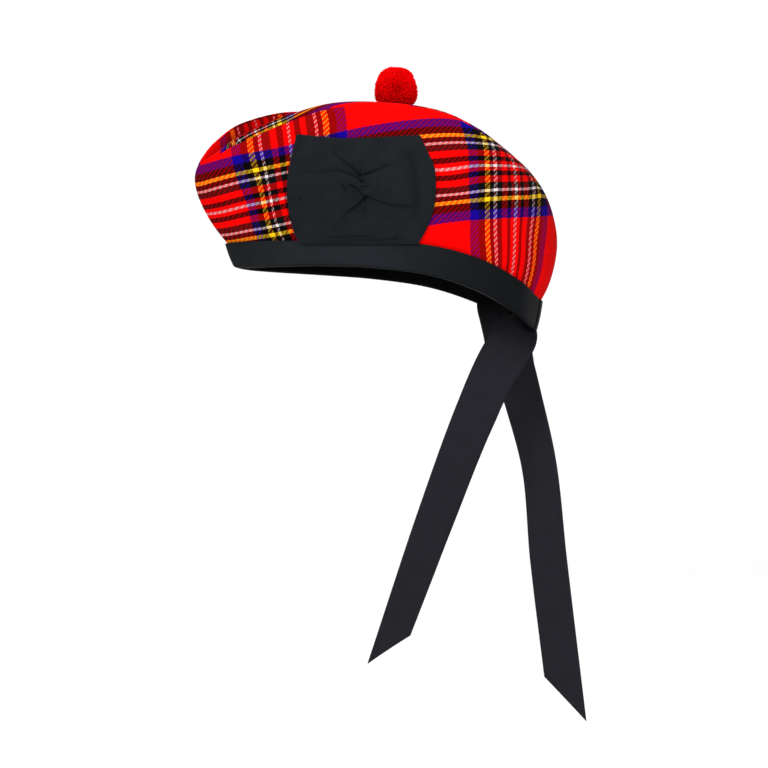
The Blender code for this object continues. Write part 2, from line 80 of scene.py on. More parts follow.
# %% Lamps and sky
def soft_lamp(name, place, aim, size, watts):
    lamp = bpy.data.objects.new(name, bpy.data.lights.new(name, "AREA"))
    lamp.data.size = size
    lamp.data.energy = watts
    lamp.location = place
    lamp.rotation_euler = (Vector(aim) - Vector(place)).to_track_quat("-Z", "Y").to_euler()
    bpy.context.scene.collection.objects.link(lamp)
    print(name, watts, "W,", size, "m wide")


soft_lamp("key_lamp", (-0.9, -1.9, 1.3), (0, 0, 0.02), 1.3, 34)
soft_lamp("fill_lamp", (1.5, -1.5, 0.5), (0, 0, 0), 1.2, 11)
soft_lamp("top_lamp", (0.2, -0.2, 1.9), (0, 0, 0.05), 1.1, 10)
sky = bpy.data.worlds.new("studio_sky")
sky.use_nodes = True
sky.node_tree.nodes["Background"].inputs["Color"].default_value = (1.0, 1.0, 1.0, 1.0)
sky.node_tree.nodes["Background"].inputs["Strength"].default_value = 0.75
bpy.context.scene.world = sky

# %% [markdown]
# The backdrop is pale paper that lies flat and bends up behind the cap in a quarter circle, so
# no corner shows. From behind it would hide the cap, so its back is made clear: the shader takes
# paper or nothing by which face of the sheet is seen.

# %% Backdrop
FLOOR = -0.345
SHEET_FROM, BEND_FROM, SHEET_TOP, SHEET_HALF = -4.0, 1.4, 4.5, 5.0
BEND_RADIUS, BEND_STEPS = 0.8, 16


def make_paper():
    paper = bpy.data.materials.new("backdrop_paper")
    paper.use_nodes = True
    nodes, links = paper.node_tree.nodes, paper.node_tree.links
    shader = nodes["Principled BSDF"]
    shader.inputs["Base Color"].default_value = (0.94, 0.94, 0.94, 1.0)
    shader.inputs["Roughness"].default_value = 0.9
    side = nodes.new("ShaderNodeNewGeometry")
    clear = nodes.new("ShaderNodeBsdfTransparent")
    either = nodes.new("ShaderNodeMixShader")
    links.new(side.outputs["Backfacing"], either.inputs[0])
    links.new(shader.outputs[0], either.inputs[1])
    links.new(clear.outputs[0], either.inputs[2])
    links.new(either.outputs[0], nodes["Material Output"].inputs["Surface"])
    return paper


def backdrop():
    profile = [(SHEET_FROM, FLOOR), (BEND_FROM, FLOOR)]
    for i in range(1, BEND_STEPS + 1):
        angle = math.pi / 2 * i / BEND_STEPS
        profile.append((BEND_FROM + BEND_RADIUS * math.sin(angle),
                        FLOOR + BEND_RADIUS * (1 - math.cos(angle))))
    profile.append((BEND_FROM + BEND_RADIUS, SHEET_TOP))
    vertices = [(x, y, z) for x in (-SHEET_HALF, SHEET_HALF) for y, z in profile]
    count = len(profile)
    faces = [(i, i + count, i + count + 1, i + 1) for i in range(count - 1)]
    mesh = bpy.data.meshes.new("backdrop_sheet")
    mesh.from_pydata(vertices, [], faces)
    mesh.shade_smooth()
    mesh.materials.append(make_paper())
    sheet = bpy.data.objects.new("backdrop_sheet", mesh)
    bpy.context.scene.collection.objects.link(sheet)
    print("backdrop", len(faces), "faces")


backdrop()

# %% [markdown]
# ## The cut of the cap
#
# The cap is described by eleven sections from the front seam to the back seam. Each has a place
# on the rim, a place on the ridge, and how far belly and shoulder of the wall stand out between
# them. These are the same tables that the solids were made from, read here in finer steps.
#
# What a table says is a share: along, of the rim's length, out, of half its width, and up, of the
# crown's height. The inset is a share of the band's width, belly and shoulder are shares of the
# wall's height, and the top panel's table is in steps of its relief.

# %% Sizes and tables
RIM_LENGTH = 0.2325
RIM_WIDTH = 0.154
RIM_FRONT = -0.1174
CROWN_HEIGHT = 0.1335
GAP = 0.0003
RIM_ROLL = math.radians(3.2)
HANDLE_LOW = 0.30
HANDLE_HIGH = 0.27
TOP_RELIEF = 0.010
RIBBON = 0.001
CLOTH = 0.002
BAND_WIDTH = 0.019
LAST = 10

# along, out, upper edge, lower edge, inset of the rim
RIM_ROWS = np.array((
    (0.000, 0.000, 0.255, 0.123, 0.35), (0.021, 0.085, 0.259, 0.120, 0.32),
    (0.069, 0.240, 0.264, 0.121, 0.24), (0.157, 0.480, 0.268, 0.126, 0.12),
    (0.300, 0.753, 0.264, 0.129, 0.06), (0.473, 0.935, 0.259, 0.118, 0.04),
    (0.647, 1.000, 0.238, 0.077, 0.04), (0.806, 0.920, 0.161, -0.014, 0.06),
    (0.923, 0.665, 0.050, -0.124, 0.12), (0.983, 0.325, -0.041, -0.204, 0.20),
    (1.000, 0.000, -0.063, -0.226, 0.24)))
# belly, shoulder of the wall
WALL_ROWS = np.array((
    (0.250, 0.170), (0.210, 0.165), (0.150, 0.160), (0.110, 0.160), (0.070, 0.170),
    (0.050, 0.185), (0.050, 0.200), (0.060, 0.230), (0.110, 0.260), (0.160, 0.310),
    (0.190, 0.335)))
# along, up, left ridge out, right ridge out
RIDGE_ROWS = np.array((
    (-0.082, 0.691, 0.000, 0.000), (-0.070, 0.702, 0.070, 0.055),
    (-0.033, 0.727, 0.175, 0.135), (0.047, 0.801, 0.285, 0.215),
    (0.189, 0.906, 0.345, 0.290), (0.347, 0.986, 0.545, 0.520),
    (0.527, 1.000, 0.650, 0.650), (0.679, 0.964, 0.585, 0.585),
    (0.793, 0.876, 0.415, 0.415), (0.869, 0.787, 0.210, 0.210),
    (0.913, 0.732, 0.000, 0.000)))
# crest, crease, right half, right ridge of the top panel
TOP_ROWS = np.array((
    (0.00, 0.00, 0.00, 0.00), (0.05, -0.05, 0.20, 0.50), (0.18, -0.60, 0.30, 1.28),
    (0.45, -1.60, 0.15, 1.65), (0.50, -1.70, 0.00, 1.10), (0.38, -0.70, -0.10, 0.00),
    (0.16, 0.20, 0.30, -0.30), (0.08, 0.15, 0.05, -0.50), (0.08, 0.12, 0.03, -0.40),
    (0.04, 0.08, 0.05, -0.20), (0.00, 0.00, 0.00, 0.00)))
TOP_COLUMNS_AT = (-1.0, -0.72, 0.0, 0.5, 1.0)

# %% [markdown]
# A table is read between its rows on a smooth curve through them. At the back seam the level
# columns change sign, as if the curve went on round the other side, so the cap closes roundly.

# %% Reading the tables
def read_rows(rows, s, mirrored=()):
    """The table's row at section s, which may lie between two rows."""
    after = rows[-2].copy()
    for column in mirrored:
        after[column] *= -1
    table = np.vstack((2 * rows[0] - rows[1], rows, after))
    i = min(int(s), len(rows) - 2)
    f = s - i
    a, b, c, d = table[i:i + 4]
    return b + 0.5 * f * (c - a + f * (2 * a - 5 * b + 4 * c - d + f * (3 * (b - c) + d - a)))


def fade(value, start, over):
    """0 at the start, 1 a stretch further and straight between. A stretch below 0 goes down."""
    return np.clip((value - start) / over, 0, 1)


def smooth_through(places, values, at):
    slopes = np.gradient(np.array(values, dtype=float), np.array(places, dtype=float))
    i = min(max(int(np.searchsorted(places, at)) - 1, 0), len(places) - 2)
    width = places[i + 1] - places[i]
    f = (at - places[i]) / width
    start = (1 + 2 * f) * (1 - f) ** 2 * values[i] + f * (1 - f) ** 2 * width * slopes[i]
    end = f * f * (3 - 2 * f) * values[i + 1] + f * f * (f - 1) * width * slopes[i + 1]
    return start + end


SEAM_EASE = 0.24
NEARBY = 0.01


def outward(s, side):
    """The level direction that faces away from the rim."""
    before = read_rows(RIM_ROWS, max(s - NEARBY, 0), (1,))
    after = read_rows(RIM_ROWS, min(s + NEARBY, LAST), (1,))
    along = (after[0] - before[0]) * RIM_LENGTH
    out = (after[1] - before[1]) * RIM_WIDTH / 2
    near_seam = 1.0 if s > LAST / 2 else min(1.0, read_rows(RIM_ROWS, s, (1,))[1] / SEAM_EASE)
    direction = np.array((-out, side * along * near_seam, 0.0))
    if s >= LAST:
        direction = np.array((1.0, 0.0, 0.0))
    return direction / np.linalg.norm(direction)


def rim_points(s, side):
    """Upper and lower edge of the binding's outer face."""
    along, out, top, bottom, inset = read_rows(RIM_ROWS, s, (1,))
    half = out * RIM_WIDTH / 2
    drop = 2 * half * math.tan(RIM_ROLL) if side > 0 else 0.0
    upper = np.array((RIM_FRONT + along * RIM_LENGTH, side * half, top * CROWN_HEIGHT - drop))
    fall = (top - bottom) * CROWN_HEIGHT
    lower = upper - outward(s, side) * inset * BAND_WIDTH - np.array((0, 0, fall))
    return upper, lower


def ridge_point(s, side):
    along, up, left_out, right_out = read_rows(RIDGE_ROWS, s, (2, 3))
    lift = read_rows(TOP_ROWS, s)[3] * TOP_RELIEF if side > 0 else 0.0
    out = right_out if side > 0 else left_out
    return np.array((RIM_FRONT + along * RIM_LENGTH, side * out * RIM_WIDTH / 2,
                     up * CROWN_HEIGHT + lift))


print("rim at its widest:", rim_points(6, -1)[0].round(4))

# %% [markdown]
# ## Cloth as a grid
#
# Each sewn piece is a grid of points, dense enough for soft curves. A second grid one cloth
# thickness inside gives it a back, and a strip round the border closes the two into one piece.
# Every grid point also has a place on the flat cloth, kept as a map in millimetres, so the weave
# can follow the cloth and not the room. A second map, the painted shade map, says how much darker
# the cloth is painted there, from 0 to 1. That is painted shade: deep in a crease or close under
# an edge, the studio's soft light hardly reaches real wool, and less of that shows in a render
# than in life.

# %% Grids to meshes
def grid_faces(rows, columns, first=0, flipped=False):
    faces = []
    for i in range(rows - 1):
        for j in range(columns - 1):
            a = first + i * columns + j
            face = (a, a + columns, a + columns + 1, a + 1)
            faces.append(face[::-1] if flipped else face)
    return faces


def link_mesh(name, vertices, faces, materials):
    mesh = bpy.data.meshes.new(name)
    mesh.from_pydata([tuple(map(float, v)) for v in vertices], [], faces)
    mesh.shade_smooth()
    obj = bpy.data.objects.new(name, mesh)
    bpy.context.scene.collection.objects.link(obj)
    for material in materials:
        mesh.materials.append(material)
    return obj


def add_map(obj, name, values):
    """A map with one flat place per vertex."""
    layer = obj.data.uv_layers.new(name=name)
    corners = np.empty(len(obj.data.loops), dtype=np.int32)
    obj.data.loops.foreach_get("vertex_index", corners)
    layer.uv.foreach_set("vector", np.asarray(values, dtype=np.float32)[corners].ravel())


def cloth_shell(name, outer, inner, flat, materials, fold):
    """A closed sheet: outer face first, then the inner face with the second material."""
    rows, columns = outer.shape[:2]
    size = rows * columns
    vertices = np.vstack((outer.reshape(size, 3), inner.reshape(size, 3)))
    faces = grid_faces(rows, columns) + grid_faces(rows, columns, size, True)
    inside_from = len(faces) // 2
    border = list(range(columns)) + [i * columns + columns - 1 for i in range(1, rows)]
    border += [(rows - 1) * columns + j for j in range(columns - 2, -1, -1)]
    border += [i * columns for i in range(rows - 2, 0, -1)]
    inside_to = len(faces)
    faces += [(b, b + size, a + size, a) for a, b in zip(border, border[1:] + border[:1])]
    piece = link_mesh(name, vertices, faces, materials)
    if len(materials) > 1:
        for k in range(inside_from, inside_to):
            piece.data.polygons[k].material_index = 1
    places = flat.reshape(size, 2)
    add_map(piece, "cloth_mm", np.vstack((places, places)))
    # painted shade map: how much painted shade darkens each point, the same on both faces
    shade = np.repeat(fold.reshape(size, 1), 2, axis=1)
    add_map(piece, "fold", np.vstack((shade, shade)))
    return face_outward(piece)


def face_outward(piece):
    mesh = piece.data
    volume = sum(p.center.dot(p.normal) * p.area for p in mesh.polygons)
    if volume < 0:
        mesh.flip_normals()
    return piece


def settle(piece, solid):
    """The piece stands for the named solid and moves with the cap."""
    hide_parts(solid)
    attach(piece, "root")
    print(piece.name, len(piece.data.polygons), "faces")


def normals_of(grid):
    cross = np.cross(np.gradient(grid, axis=0), np.gradient(grid, axis=1))
    return cross / np.maximum(np.linalg.norm(cross, axis=2, keepdims=True), 1e-12)


# %% [markdown]
# ## Laying a panel flat
#
# Tartan is woven flat, and a tailor cuts the panels out of it. To know which stripe lies where
# on the shaped panel, the panel is unwrapped: the unwrapping looks for the flat shape that
# stretches the cloth least. The result is turned so that its first axis runs from one named place of the
# panel to another, and scaled to millimetres.

# %% Unwrapping
def lay_flat(grid, start, end):
    """The grid's places on flat cloth in mm, from the start and along the way to the end."""
    rows, columns = grid.shape[:2]
    obj = link_mesh("pattern_piece", grid.reshape(-1, 3), grid_faces(rows, columns), ())
    bpy.ops.object.select_all(action="DESELECT")
    obj.select_set(True)
    bpy.context.view_layer.objects.active = obj
    bpy.ops.object.mode_set(mode="EDIT")
    bpy.ops.mesh.select_all(action="SELECT")
    bpy.ops.uv.unwrap(method="MINIMUM_STRETCH", margin=0.0)
    bpy.ops.object.mode_set(mode="OBJECT")
    mesh = obj.data
    corners = np.empty(len(mesh.loops), dtype=np.int32)
    mesh.loops.foreach_get("vertex_index", corners)
    places = np.empty(len(mesh.loops) * 2, dtype=np.float32)
    mesh.uv_layers.active.uv.foreach_get("vector", places)
    flat = np.zeros((rows * columns, 2))
    flat[corners] = places.reshape(-1, 2)
    flat = flat.reshape(rows, columns, 2)
    bpy.data.objects.remove(obj, do_unlink=True)
    real = np.linalg.norm(np.diff(grid, axis=0), axis=2).sum()
    drawn = np.linalg.norm(np.diff(flat, axis=0), axis=2).sum()
    flat *= 1000 * real / drawn
    flat -= flat[start]
    along = flat[end] / np.linalg.norm(flat[end])
    first = flat @ along
    second = flat @ np.array((-along[1], along[0]))
    if (second[:, -1] - second[:, 0]).mean() < 0:
        second = -second
    flat = np.stack((first, second), axis=2)
    bent = np.linalg.norm(np.diff(grid, axis=1), axis=2) * 1000
    laid = np.linalg.norm(np.diff(flat, axis=1), axis=2)
    print("cloth laid flat, stretch", np.percentile(laid / bent, (2, 50, 98)).round(3))
    return flat


def cut_on(flat, angle, pivot):
    """Turn the flat panel on the tartan and move the sett's pivot to a place on the panel."""
    turned = flat - np.array(pivot)
    c, s = math.cos(angle), math.sin(angle)
    return turned @ np.array(((c, -s), (s, c)))


# %% Wall and top grids
SECTIONS = 150
TUCK_STEPS = 4
WALL_STEPS = 44
TOP_STEPS = 48
places = np.linspace(0, LAST, SECTIONS + 1)


def wall_section(s, side):
    out = outward(s, side)
    upper, lower = rim_points(s, side)
    tuck = out * (RIBBON + GAP)
    foot = lower - tuck + np.array((0, 0, RIBBON + 2 * GAP))
    start = upper - tuck
    end = ridge_point(s, side)
    belly, shoulder = read_rows(WALL_ROWS, s)
    height = end[2] - start[2]
    low = start + height * (belly * out + np.array((0, 0, HANDLE_LOW)))
    high = end + height * (shoulder * out - np.array((0, 0, HANDLE_HIGH)))
    points = [foot + (start - foot) * i / TUCK_STEPS for i in range(TUCK_STEPS)]
    for t in np.linspace(0, 1, WALL_STEPS + 1):
        points.append((1 - t) ** 3 * start + 3 * t * (1 - t) ** 2 * low
                      + 3 * t * t * (1 - t) * high + t ** 3 * end)
    return points


def top_section(s):
    left, right = ridge_point(s, -1), ridge_point(s, 1)
    crest, crease, right_half, right_ridge = read_rows(TOP_ROWS, s)
    heights = (0.0, crest, crease, right_half, right_ridge)
    points = []
    for v in np.linspace(-1, 1, TOP_STEPS + 1):
        y = left[1] + (right[1] - left[1]) * (v + 1) / 2
        rise = smooth_through(TOP_COLUMNS_AT, heights, v) * TOP_RELIEF
        points.append((left[0], y, left[2] + rise))
    return points


walls = {side: np.array([wall_section(s, side) for s in places]) for side in (-1, 1)}
top = np.array([top_section(s) for s in places])
print("wall grid", walls[-1].shape, "top grid", top.shape)

# %% [markdown]
# ## The tartan
#
# The cloth is a two-over-two twill in a red sett. Each thread keeps one colour for its whole
# length. A stripe of the pattern is a run of threads, and where warp and weft differ, the twill
# shows them in turn, as short diagonal dashes. The shader does what the loom does: it numbers
# the threads, gives each its colour from one list for both directions, and decides at each
# crossing which thread is on top. The list is mirrored at both ends, as most setts are.

# %% Sett and thread sizes
WARP_PITCH_MM = 1.05
WEFT_PITCH_MM = 1.00
HALF_SETT_MM = 81.6
RED = (0.86, 0.002, 0.002)
BLACK = (0.003, 0.003, 0.004)
GREEN = (0.002, 0.010, 0.011)
WHITE = (0.86, 0.88, 0.90)
YELLOW = (0.95, 0.75, 0.02)
BLUE = (0.010, 0.003, 0.40)
# black: each thread's own random tone darkens towards it, and painted shade goes over to it
TONE_AND_SHADE_BLACK = (0.0, 0.0, 0.0)
# where each stripe ends, from the white pivot, in mm
SETT = ((1.2, WHITE), (4.3, RED), (7.9, BLACK), (12.5, RED), (17.3, GREEN), (20.4, WHITE),
        (23.4, BLACK), (27.1, YELLOW), (32.3, BLACK), (39.7, BLUE), (HALF_SETT_MM, RED))


# %% Helpers for node trees
def node(tree, kind, **settings):
    made = tree.nodes.new(kind)
    for name, value in settings.items():
        setattr(made, name, value)
    return made


def fill(tree, sockets, values):
    """Give each socket its number, its colour or what feeds it."""
    for socket, value in zip(sockets, values):
        if isinstance(value, (int, float)):
            socket.default_value = value
        elif isinstance(value, tuple):
            socket.default_value = (*value, 1.0)
        else:
            tree.links.new(value, socket)


def math_node(tree, operation, *inputs):
    made = node(tree, "ShaderNodeMath", operation=operation)
    fill(tree, made.inputs, inputs)
    return made.outputs[0]


def mix_values(tree, share, first, second):
    made = node(tree, "ShaderNodeMix", data_type="FLOAT")
    fill(tree, (made.inputs[0], made.inputs[2], made.inputs[3]), (share, first, second))
    return made.outputs[0]


def mix_colours(tree, share, first, second, blend="MIX"):
    made = node(tree, "ShaderNodeMix", data_type="RGBA", blend_type=blend)
    fill(tree, (made.inputs[0], made.inputs[6], made.inputs[7]), (share, first, second))
    return made.outputs[2]


def axes_of(tree, place):
    split = node(tree, "ShaderNodeSeparateXYZ")
    tree.links.new(place, split.inputs[0])
    return split.outputs


def new_group(name, inputs, outputs):
    """An empty shader group. inputs are (name, default), outputs (name, socket type)."""
    group = bpy.data.node_groups.new(name, "ShaderNodeTree")
    for label, default in inputs:
        kind = "NodeSocketVector" if isinstance(default, tuple) else "NodeSocketFloat"
        socket = group.interface.new_socket(name=label, in_out="INPUT", socket_type=kind)
        socket.default_value = default
    for label, kind in outputs:
        group.interface.new_socket(name=label, in_out="OUTPUT", socket_type=kind)
    return group, node(group, "NodeGroupInput").outputs, node(group, "NodeGroupOutput").inputs


def use_group(tree, group, **inputs):
    made = node(tree, "ShaderNodeGroup", node_tree=group)
    sockets = [made.inputs[name.replace("_", " ")] for name in inputs]
    fill(tree, sockets, inputs.values())
    return made.outputs


# %% The sett as a group
def make_sett():
    """Colour of the thread at a place in mm across the sett."""
    group, given, result = new_group("tartan_sett", (("Place", 0.0),),
                                     (("Color", "NodeSocketColor"),))
    folded = math_node(group, "PINGPONG", given["Place"], HALF_SETT_MM)
    share = math_node(group, "DIVIDE", folded, HALF_SETT_MM)
    ramp = node(group, "ShaderNodeValToRGB")
    ramp.color_ramp.interpolation = "CONSTANT"
    stops = ramp.color_ramp.elements
    stops.remove(stops[1])
    start = 0.0
    for k, (end, colour) in enumerate(SETT):
        stop = stops[0] if k == 0 else stops.new(start / HALF_SETT_MM)
        stop.position = start / HALF_SETT_MM
        stop.color = (*colour, 1.0)
        start = end
    group.links.new(share, ramp.inputs[0])
    group.links.new(ramp.outputs[0], result["Color"])
    return group


sett = make_sett()
print("stripes in half a sett:", len(SETT))

# %% [markdown]
# A thread of the warp is on top where its number less the number of the weft thread, counted
# round by four, is zero or one. That makes the diagonals. The warp is spun a little thinner than
# the weft and covers only part of its own width. Each float of two threads is rounded across and
# dips at its ends, which gives the height for the bump.
#
# Threads don't hide each other wholly. A light thread over a dark one looks darker, so the
# colours are multiplied by a share, the depth. A little light of the lower thread also comes
# through the upper one, but only its red, which is the veil. Between two threads that differ, the
# low gap gets painted shade, a dark red line. Last, wool is never quite even, so each thread has
# its own small change of tone.

# %% Twill as a group
REPEAT = 4.0
WARP_SEED, WEFT_SEED = 3.1, 57.7
GAP_SHADE_COLOUR = (0.04, 0.0, 0.0)
RED_HAIRS = (1.0, 0.05, 0.05)
ROUNDNESS = 3.0
FLOAT_LOW, FLOAT_RISE = 0.45, 0.55


def make_twill():
    group, given, result = new_group(
        "tartan_twill",
        (("Place", (0.0, 0.0, 0.0)), ("Warp pitch", 1.0), ("Weft pitch", 1.0), ("Tone", 0.1),
         ("Warp width", 0.66), ("Depth", 0.4), ("Gap", 0.4), ("Warp veil", 0.3),
         ("Weft veil", 0.1)),
        (("Color", "NodeSocketColor"), ("Height", "NodeSocketFloat")))
    calc = partial(math_node, group)
    mix = partial(mix_colours, group)
    place = axes_of(group, given["Place"])
    warp = calc("DIVIDE", place[0], given["Warp pitch"])
    weft = calc("DIVIDE", place[1], given["Weft pitch"])
    i, j = calc("FLOOR", warp), calc("FLOOR", weft)

    def off_middle(across):
        return calc("ABSOLUTE", calc("SUBTRACT", calc("FRACT", across), 0.5))

    def thread_colour(number, pitch, seed):
        middle = calc("MULTIPLY", calc("ADD", number, 0.5), pitch)
        chance = node(group, "ShaderNodeTexWhiteNoise", noise_dimensions="1D")
        group.links.new(calc("ADD", number, seed), chance.inputs["W"])
        dark = calc("MULTIPLY", chance.outputs["Value"], given["Tone"])
        return mix(dark, use_group(group, sett, Place=middle)["Color"], TONE_AND_SHADE_BLACK)

    def float_height(across, along):
        off = off_middle(across)
        body = calc("SUBTRACT", 1.0, calc("MULTIPLY", calc("MULTIPLY", off, off), ROUNDNESS))
        arch = calc("ABSOLUTE", calc("SINE", calc("MULTIPLY", along, math.pi / 2)))
        return calc("MULTIPLY", body, calc("ADD", FLOAT_LOW, calc("MULTIPLY", arch, FLOAT_RISE)))

    turn = calc("FLOORED_MODULO", calc("SUBTRACT", i, j), REPEAT)
    covers = calc("LESS_THAN", off_middle(warp), calc("MULTIPLY", given["Warp width"], 0.5))
    warp_on_top = calc("MULTIPLY", calc("LESS_THAN", turn, 1.5), covers)
    warp_colour = thread_colour(i, given["Warp pitch"], WARP_SEED)
    weft_colour = thread_colour(j, given["Weft pitch"], WEFT_SEED)
    upper = mix(warp_on_top, weft_colour, warp_colour)
    lower = mix(warp_on_top, warp_colour, weft_colour)
    up_warp = calc("FLOORED_MODULO", calc("SUBTRACT", calc("ADD", i, 1.0), weft), REPEAT)
    up_weft = calc("FLOORED_MODULO", calc("SUBTRACT", warp, j), REPEAT)
    height = mix_values(group, warp_on_top, float_height(weft, up_weft),
                        float_height(warp, up_warp))
    contrast = node(group, "ShaderNodeVectorMath", operation="DISTANCE")
    fill(group, contrast.inputs, (upper, lower))
    # painted shade in the low gap between two threads of different colours
    gap_shade = calc("MULTIPLY", calc("MULTIPLY", contrast.outputs["Value"], given["Gap"]),
                   calc("SUBTRACT", 1.0, height))
    veil = mix_values(group, warp_on_top, given["Weft veil"], given["Warp veil"])
    deep = mix(given["Depth"], upper, lower, "MULTIPLY")
    veiled = mix(veil, deep, mix(1.0, lower, RED_HAIRS, "MULTIPLY"))
    group.links.new(mix(calc("MINIMUM", gap_shade, 1.0), veiled, GAP_SHADE_COLOUR), result["Color"])
    group.links.new(height, result["Height"])
    return group


twill = make_twill()
print("twill nodes:", len(twill.nodes))

# %% [markdown]
# Wool has a soft, hairy surface. A fine noise breaks up the threads in the bump, and a broad one
# makes some patches look a little more worn. Wool is dull, so the shader is rough all over, with
# hardly any gloss. Those values are the same everywhere and are set on the shader itself.

# %% Wool hair as a group
BROAD_SHARE = 0.02


def make_hair():
    group, given, result = new_group(
        "wool_hair", (("Place", (0.0, 0.0, 0.0)), ("Scale", 2.0)),
        (("Fine", "NodeSocketFloat"), ("Broad", "NodeSocketFloat")))
    for label, times in (("Fine", 1.0), ("Broad", BROAD_SHARE)):
        noise = node(group, "ShaderNodeTexNoise")
        noise.inputs["Detail"].default_value = 3.0
        group.links.new(given["Place"], noise.inputs["Vector"])
        group.links.new(math_node(group, "MULTIPLY", given["Scale"], times),
                        noise.inputs["Scale"])
        group.links.new(noise.outputs["Fac"], result[label])
    return group


hair = make_hair()


# %% Tartan cloth
# painted shade never takes a colour further than this share towards its shade colour
DEEPEST = 0.95


def principled(name, colour, roughness, specular):
    material = bpy.data.materials.new(name)
    material.use_nodes = True
    shader = material.node_tree.nodes["Principled BSDF"]
    shader.inputs["Base Color"].default_value = (*colour, 1.0)
    shader.inputs["Roughness"].default_value = roughness
    shader.inputs["Specular IOR Level"].default_value = specular
    return material, material.node_tree, shader


def read_map(tree, name):
    return node(tree, "ShaderNodeUVMap", uv_map=name).outputs[0]


def paint(tree, shader, cloth, shade_colour):
    """The cloth's colour, which goes over to the shade colour by the painted shade map."""
    depth = math_node(tree, "MINIMUM", axes_of(tree, read_map(tree, "fold"))[0], DEEPEST)
    tree.links.new(mix_colours(tree, depth, cloth, shade_colour), shader.inputs["Base Color"])


def bump_into(tree, shader, height, strength, distance):
    bump = node(tree, "ShaderNodeBump")
    fill(tree, (bump.inputs["Strength"], bump.inputs["Distance"], bump.inputs["Height"],
                shader.inputs["Normal"]), (strength, distance, height, bump.outputs[0]))


def hairy_bump(tree, shader, threads, fuzz, hairs, strength, distance):
    height = math_node(tree, "ADD", threads, math_node(tree, "MULTIPLY", fuzz["Fine"], hairs))
    bump_into(tree, shader, height, strength, distance)


def make_tartan_cloth():
    material, tree, shader = principled("tartan_wool", RED, 0.9, 0.02)
    flat = read_map(tree, "cloth_mm")
    weave = use_group(tree, twill, Place=flat, Warp_pitch=WARP_PITCH_MM,
                      Weft_pitch=WEFT_PITCH_MM, Warp_width=0.66, Tone=0.12, Depth=0.6,
                      Gap=0.45, Warp_veil=0.25, Weft_veil=0.06)
    fuzz = use_group(tree, hair, Place=flat, Scale=3.0)
    worn = math_node(tree, "MULTIPLY", fuzz["Broad"], 0.10)
    cloth = mix_colours(tree, worn, weave["Color"], (0.02, 0.002, 0.002))
    # painted shade from the painted shade map turns the tartan towards black
    paint(tree, shader, cloth, TONE_AND_SHADE_BLACK)
    hairy_bump(tree, shader, weave["Height"], fuzz, 0.5, 0.35, 0.00025)
    return material


tartan_cloth = make_tartan_cloth()

# %% [markdown]
# The inner face of the crown cloth is painted near black, as painted shade for the dark hollow
# inside the cap. A plain weave of two crossed sines in the bump is enough for it.

# %% Painted shade of the hollow
INNER_THREADS = 14.0


def make_hollow_shade():
    material, tree, shader = principled("hollow_painted_shade", (0.0022, 0.0022, 0.0026), 0.9, 0.01)
    place = axes_of(tree, read_map(tree, "cloth_mm"))
    calc = partial(math_node, tree)
    threads = [calc("SINE", calc("MULTIPLY", place[k], INNER_THREADS)) for k in (0, 1)]
    bump_into(tree, shader, calc("MULTIPLY", *threads), 0.3, 0.0001)
    return material


hollow_shade = make_hollow_shade()

# %% [markdown]
# ## The crown
#
# Where two panels meet, the cloth turns in to its seam, so each edge is rolled over a small
# radius and the seam is a fine groove. The walls get that roll, soft dents where the cloth is
# eased into the binding at the back, and a faint unevenness everywhere.

# %% Seam rolls and dents
SEAM_ROLL, SEAM_SHARE = 0.0011, 0.9
# the sections where the back is eased in, and its dents
EASED_FROM, EASED_OVER = 7.6, 1.2
DENT_DEPTH, DENT_HEIGHT = 0.00045, 0.020
UNEVEN_DEPTH = 0.00030
# how far up the wall the binding hides it
HIDDEN_TO, HIDDEN_OVER = 0.017, 0.004


def distance_from(grid, axis, from_end):
    """Distance in metres from the first or the last row or column."""
    steps = np.linalg.norm(np.diff(grid, axis=axis), axis=2)
    if from_end:
        steps = np.flip(steps, axis)
    pad = [(0, 0), (0, 0)]
    pad[axis] = (1, 0)
    run = np.pad(np.cumsum(steps, axis=axis), pad)
    return np.flip(run, axis) if from_end else run


def seam_depth(distance):
    inside = np.clip(1 - distance / SEAM_ROLL, 0, 1)
    return SEAM_ROLL * (1 - np.sqrt(1 - inside ** 2)) * SEAM_SHARE


def wall_relief(grid, side):
    """How far the cloth stands out of its smooth shape."""
    s = places[:, None]
    up = distance_from(grid, 1, False)
    eased = np.exp(-(up / DENT_HEIGHT) ** 2) * fade(s, EASED_FROM, EASED_OVER)
    ripple = DENT_DEPTH * np.sin(2 * math.pi * (s * 1.9 + up * 8)) * eased
    soft = UNEVEN_DEPTH * np.sin(s * 2.3 + up * 60) * np.sin(s * 0.9 - up * 95 + side)
    return (ripple + soft) * fade(up, HIDDEN_TO, HIDDEN_OVER)


print("seam rolls of", 1000 * SEAM_ROLL, "mm, dents up to", 1000 * DENT_DEPTH, "mm deep")

# %% [markdown]
# The tailor lays the side panel on the tartan at a small angle, so the stripes climb towards the
# back. Steam and stitching then pull the cloth a little off that lie: the stripes bend, by a few
# millimetres. That pull is a smooth curve over the panel, given by its first few powers, and a
# few soft spots take up what the curve leaves over.
#
# The painted shade map of a side darkens its ends with painted shade, where the cloth turns away
# to the seams, and a narrow foot just above the binding.

# %% Side panels
MIDDLE_ROW = TUCK_STEPS + WALL_STEPS // 2
SIDE_ANGLE = math.radians(8.87)
SIDE_PIVOT = (61.4, -4.4)
PULL_ACROSS = (-7.30, 0.13, 5.90, -4.53, -9.70, -2.05, -8.52, -0.39, 24.63)
PULL_UP = (4.59, 1.75, -4.48, -5.03, -3.57, -0.99, 1.65, 2.47, 6.28)
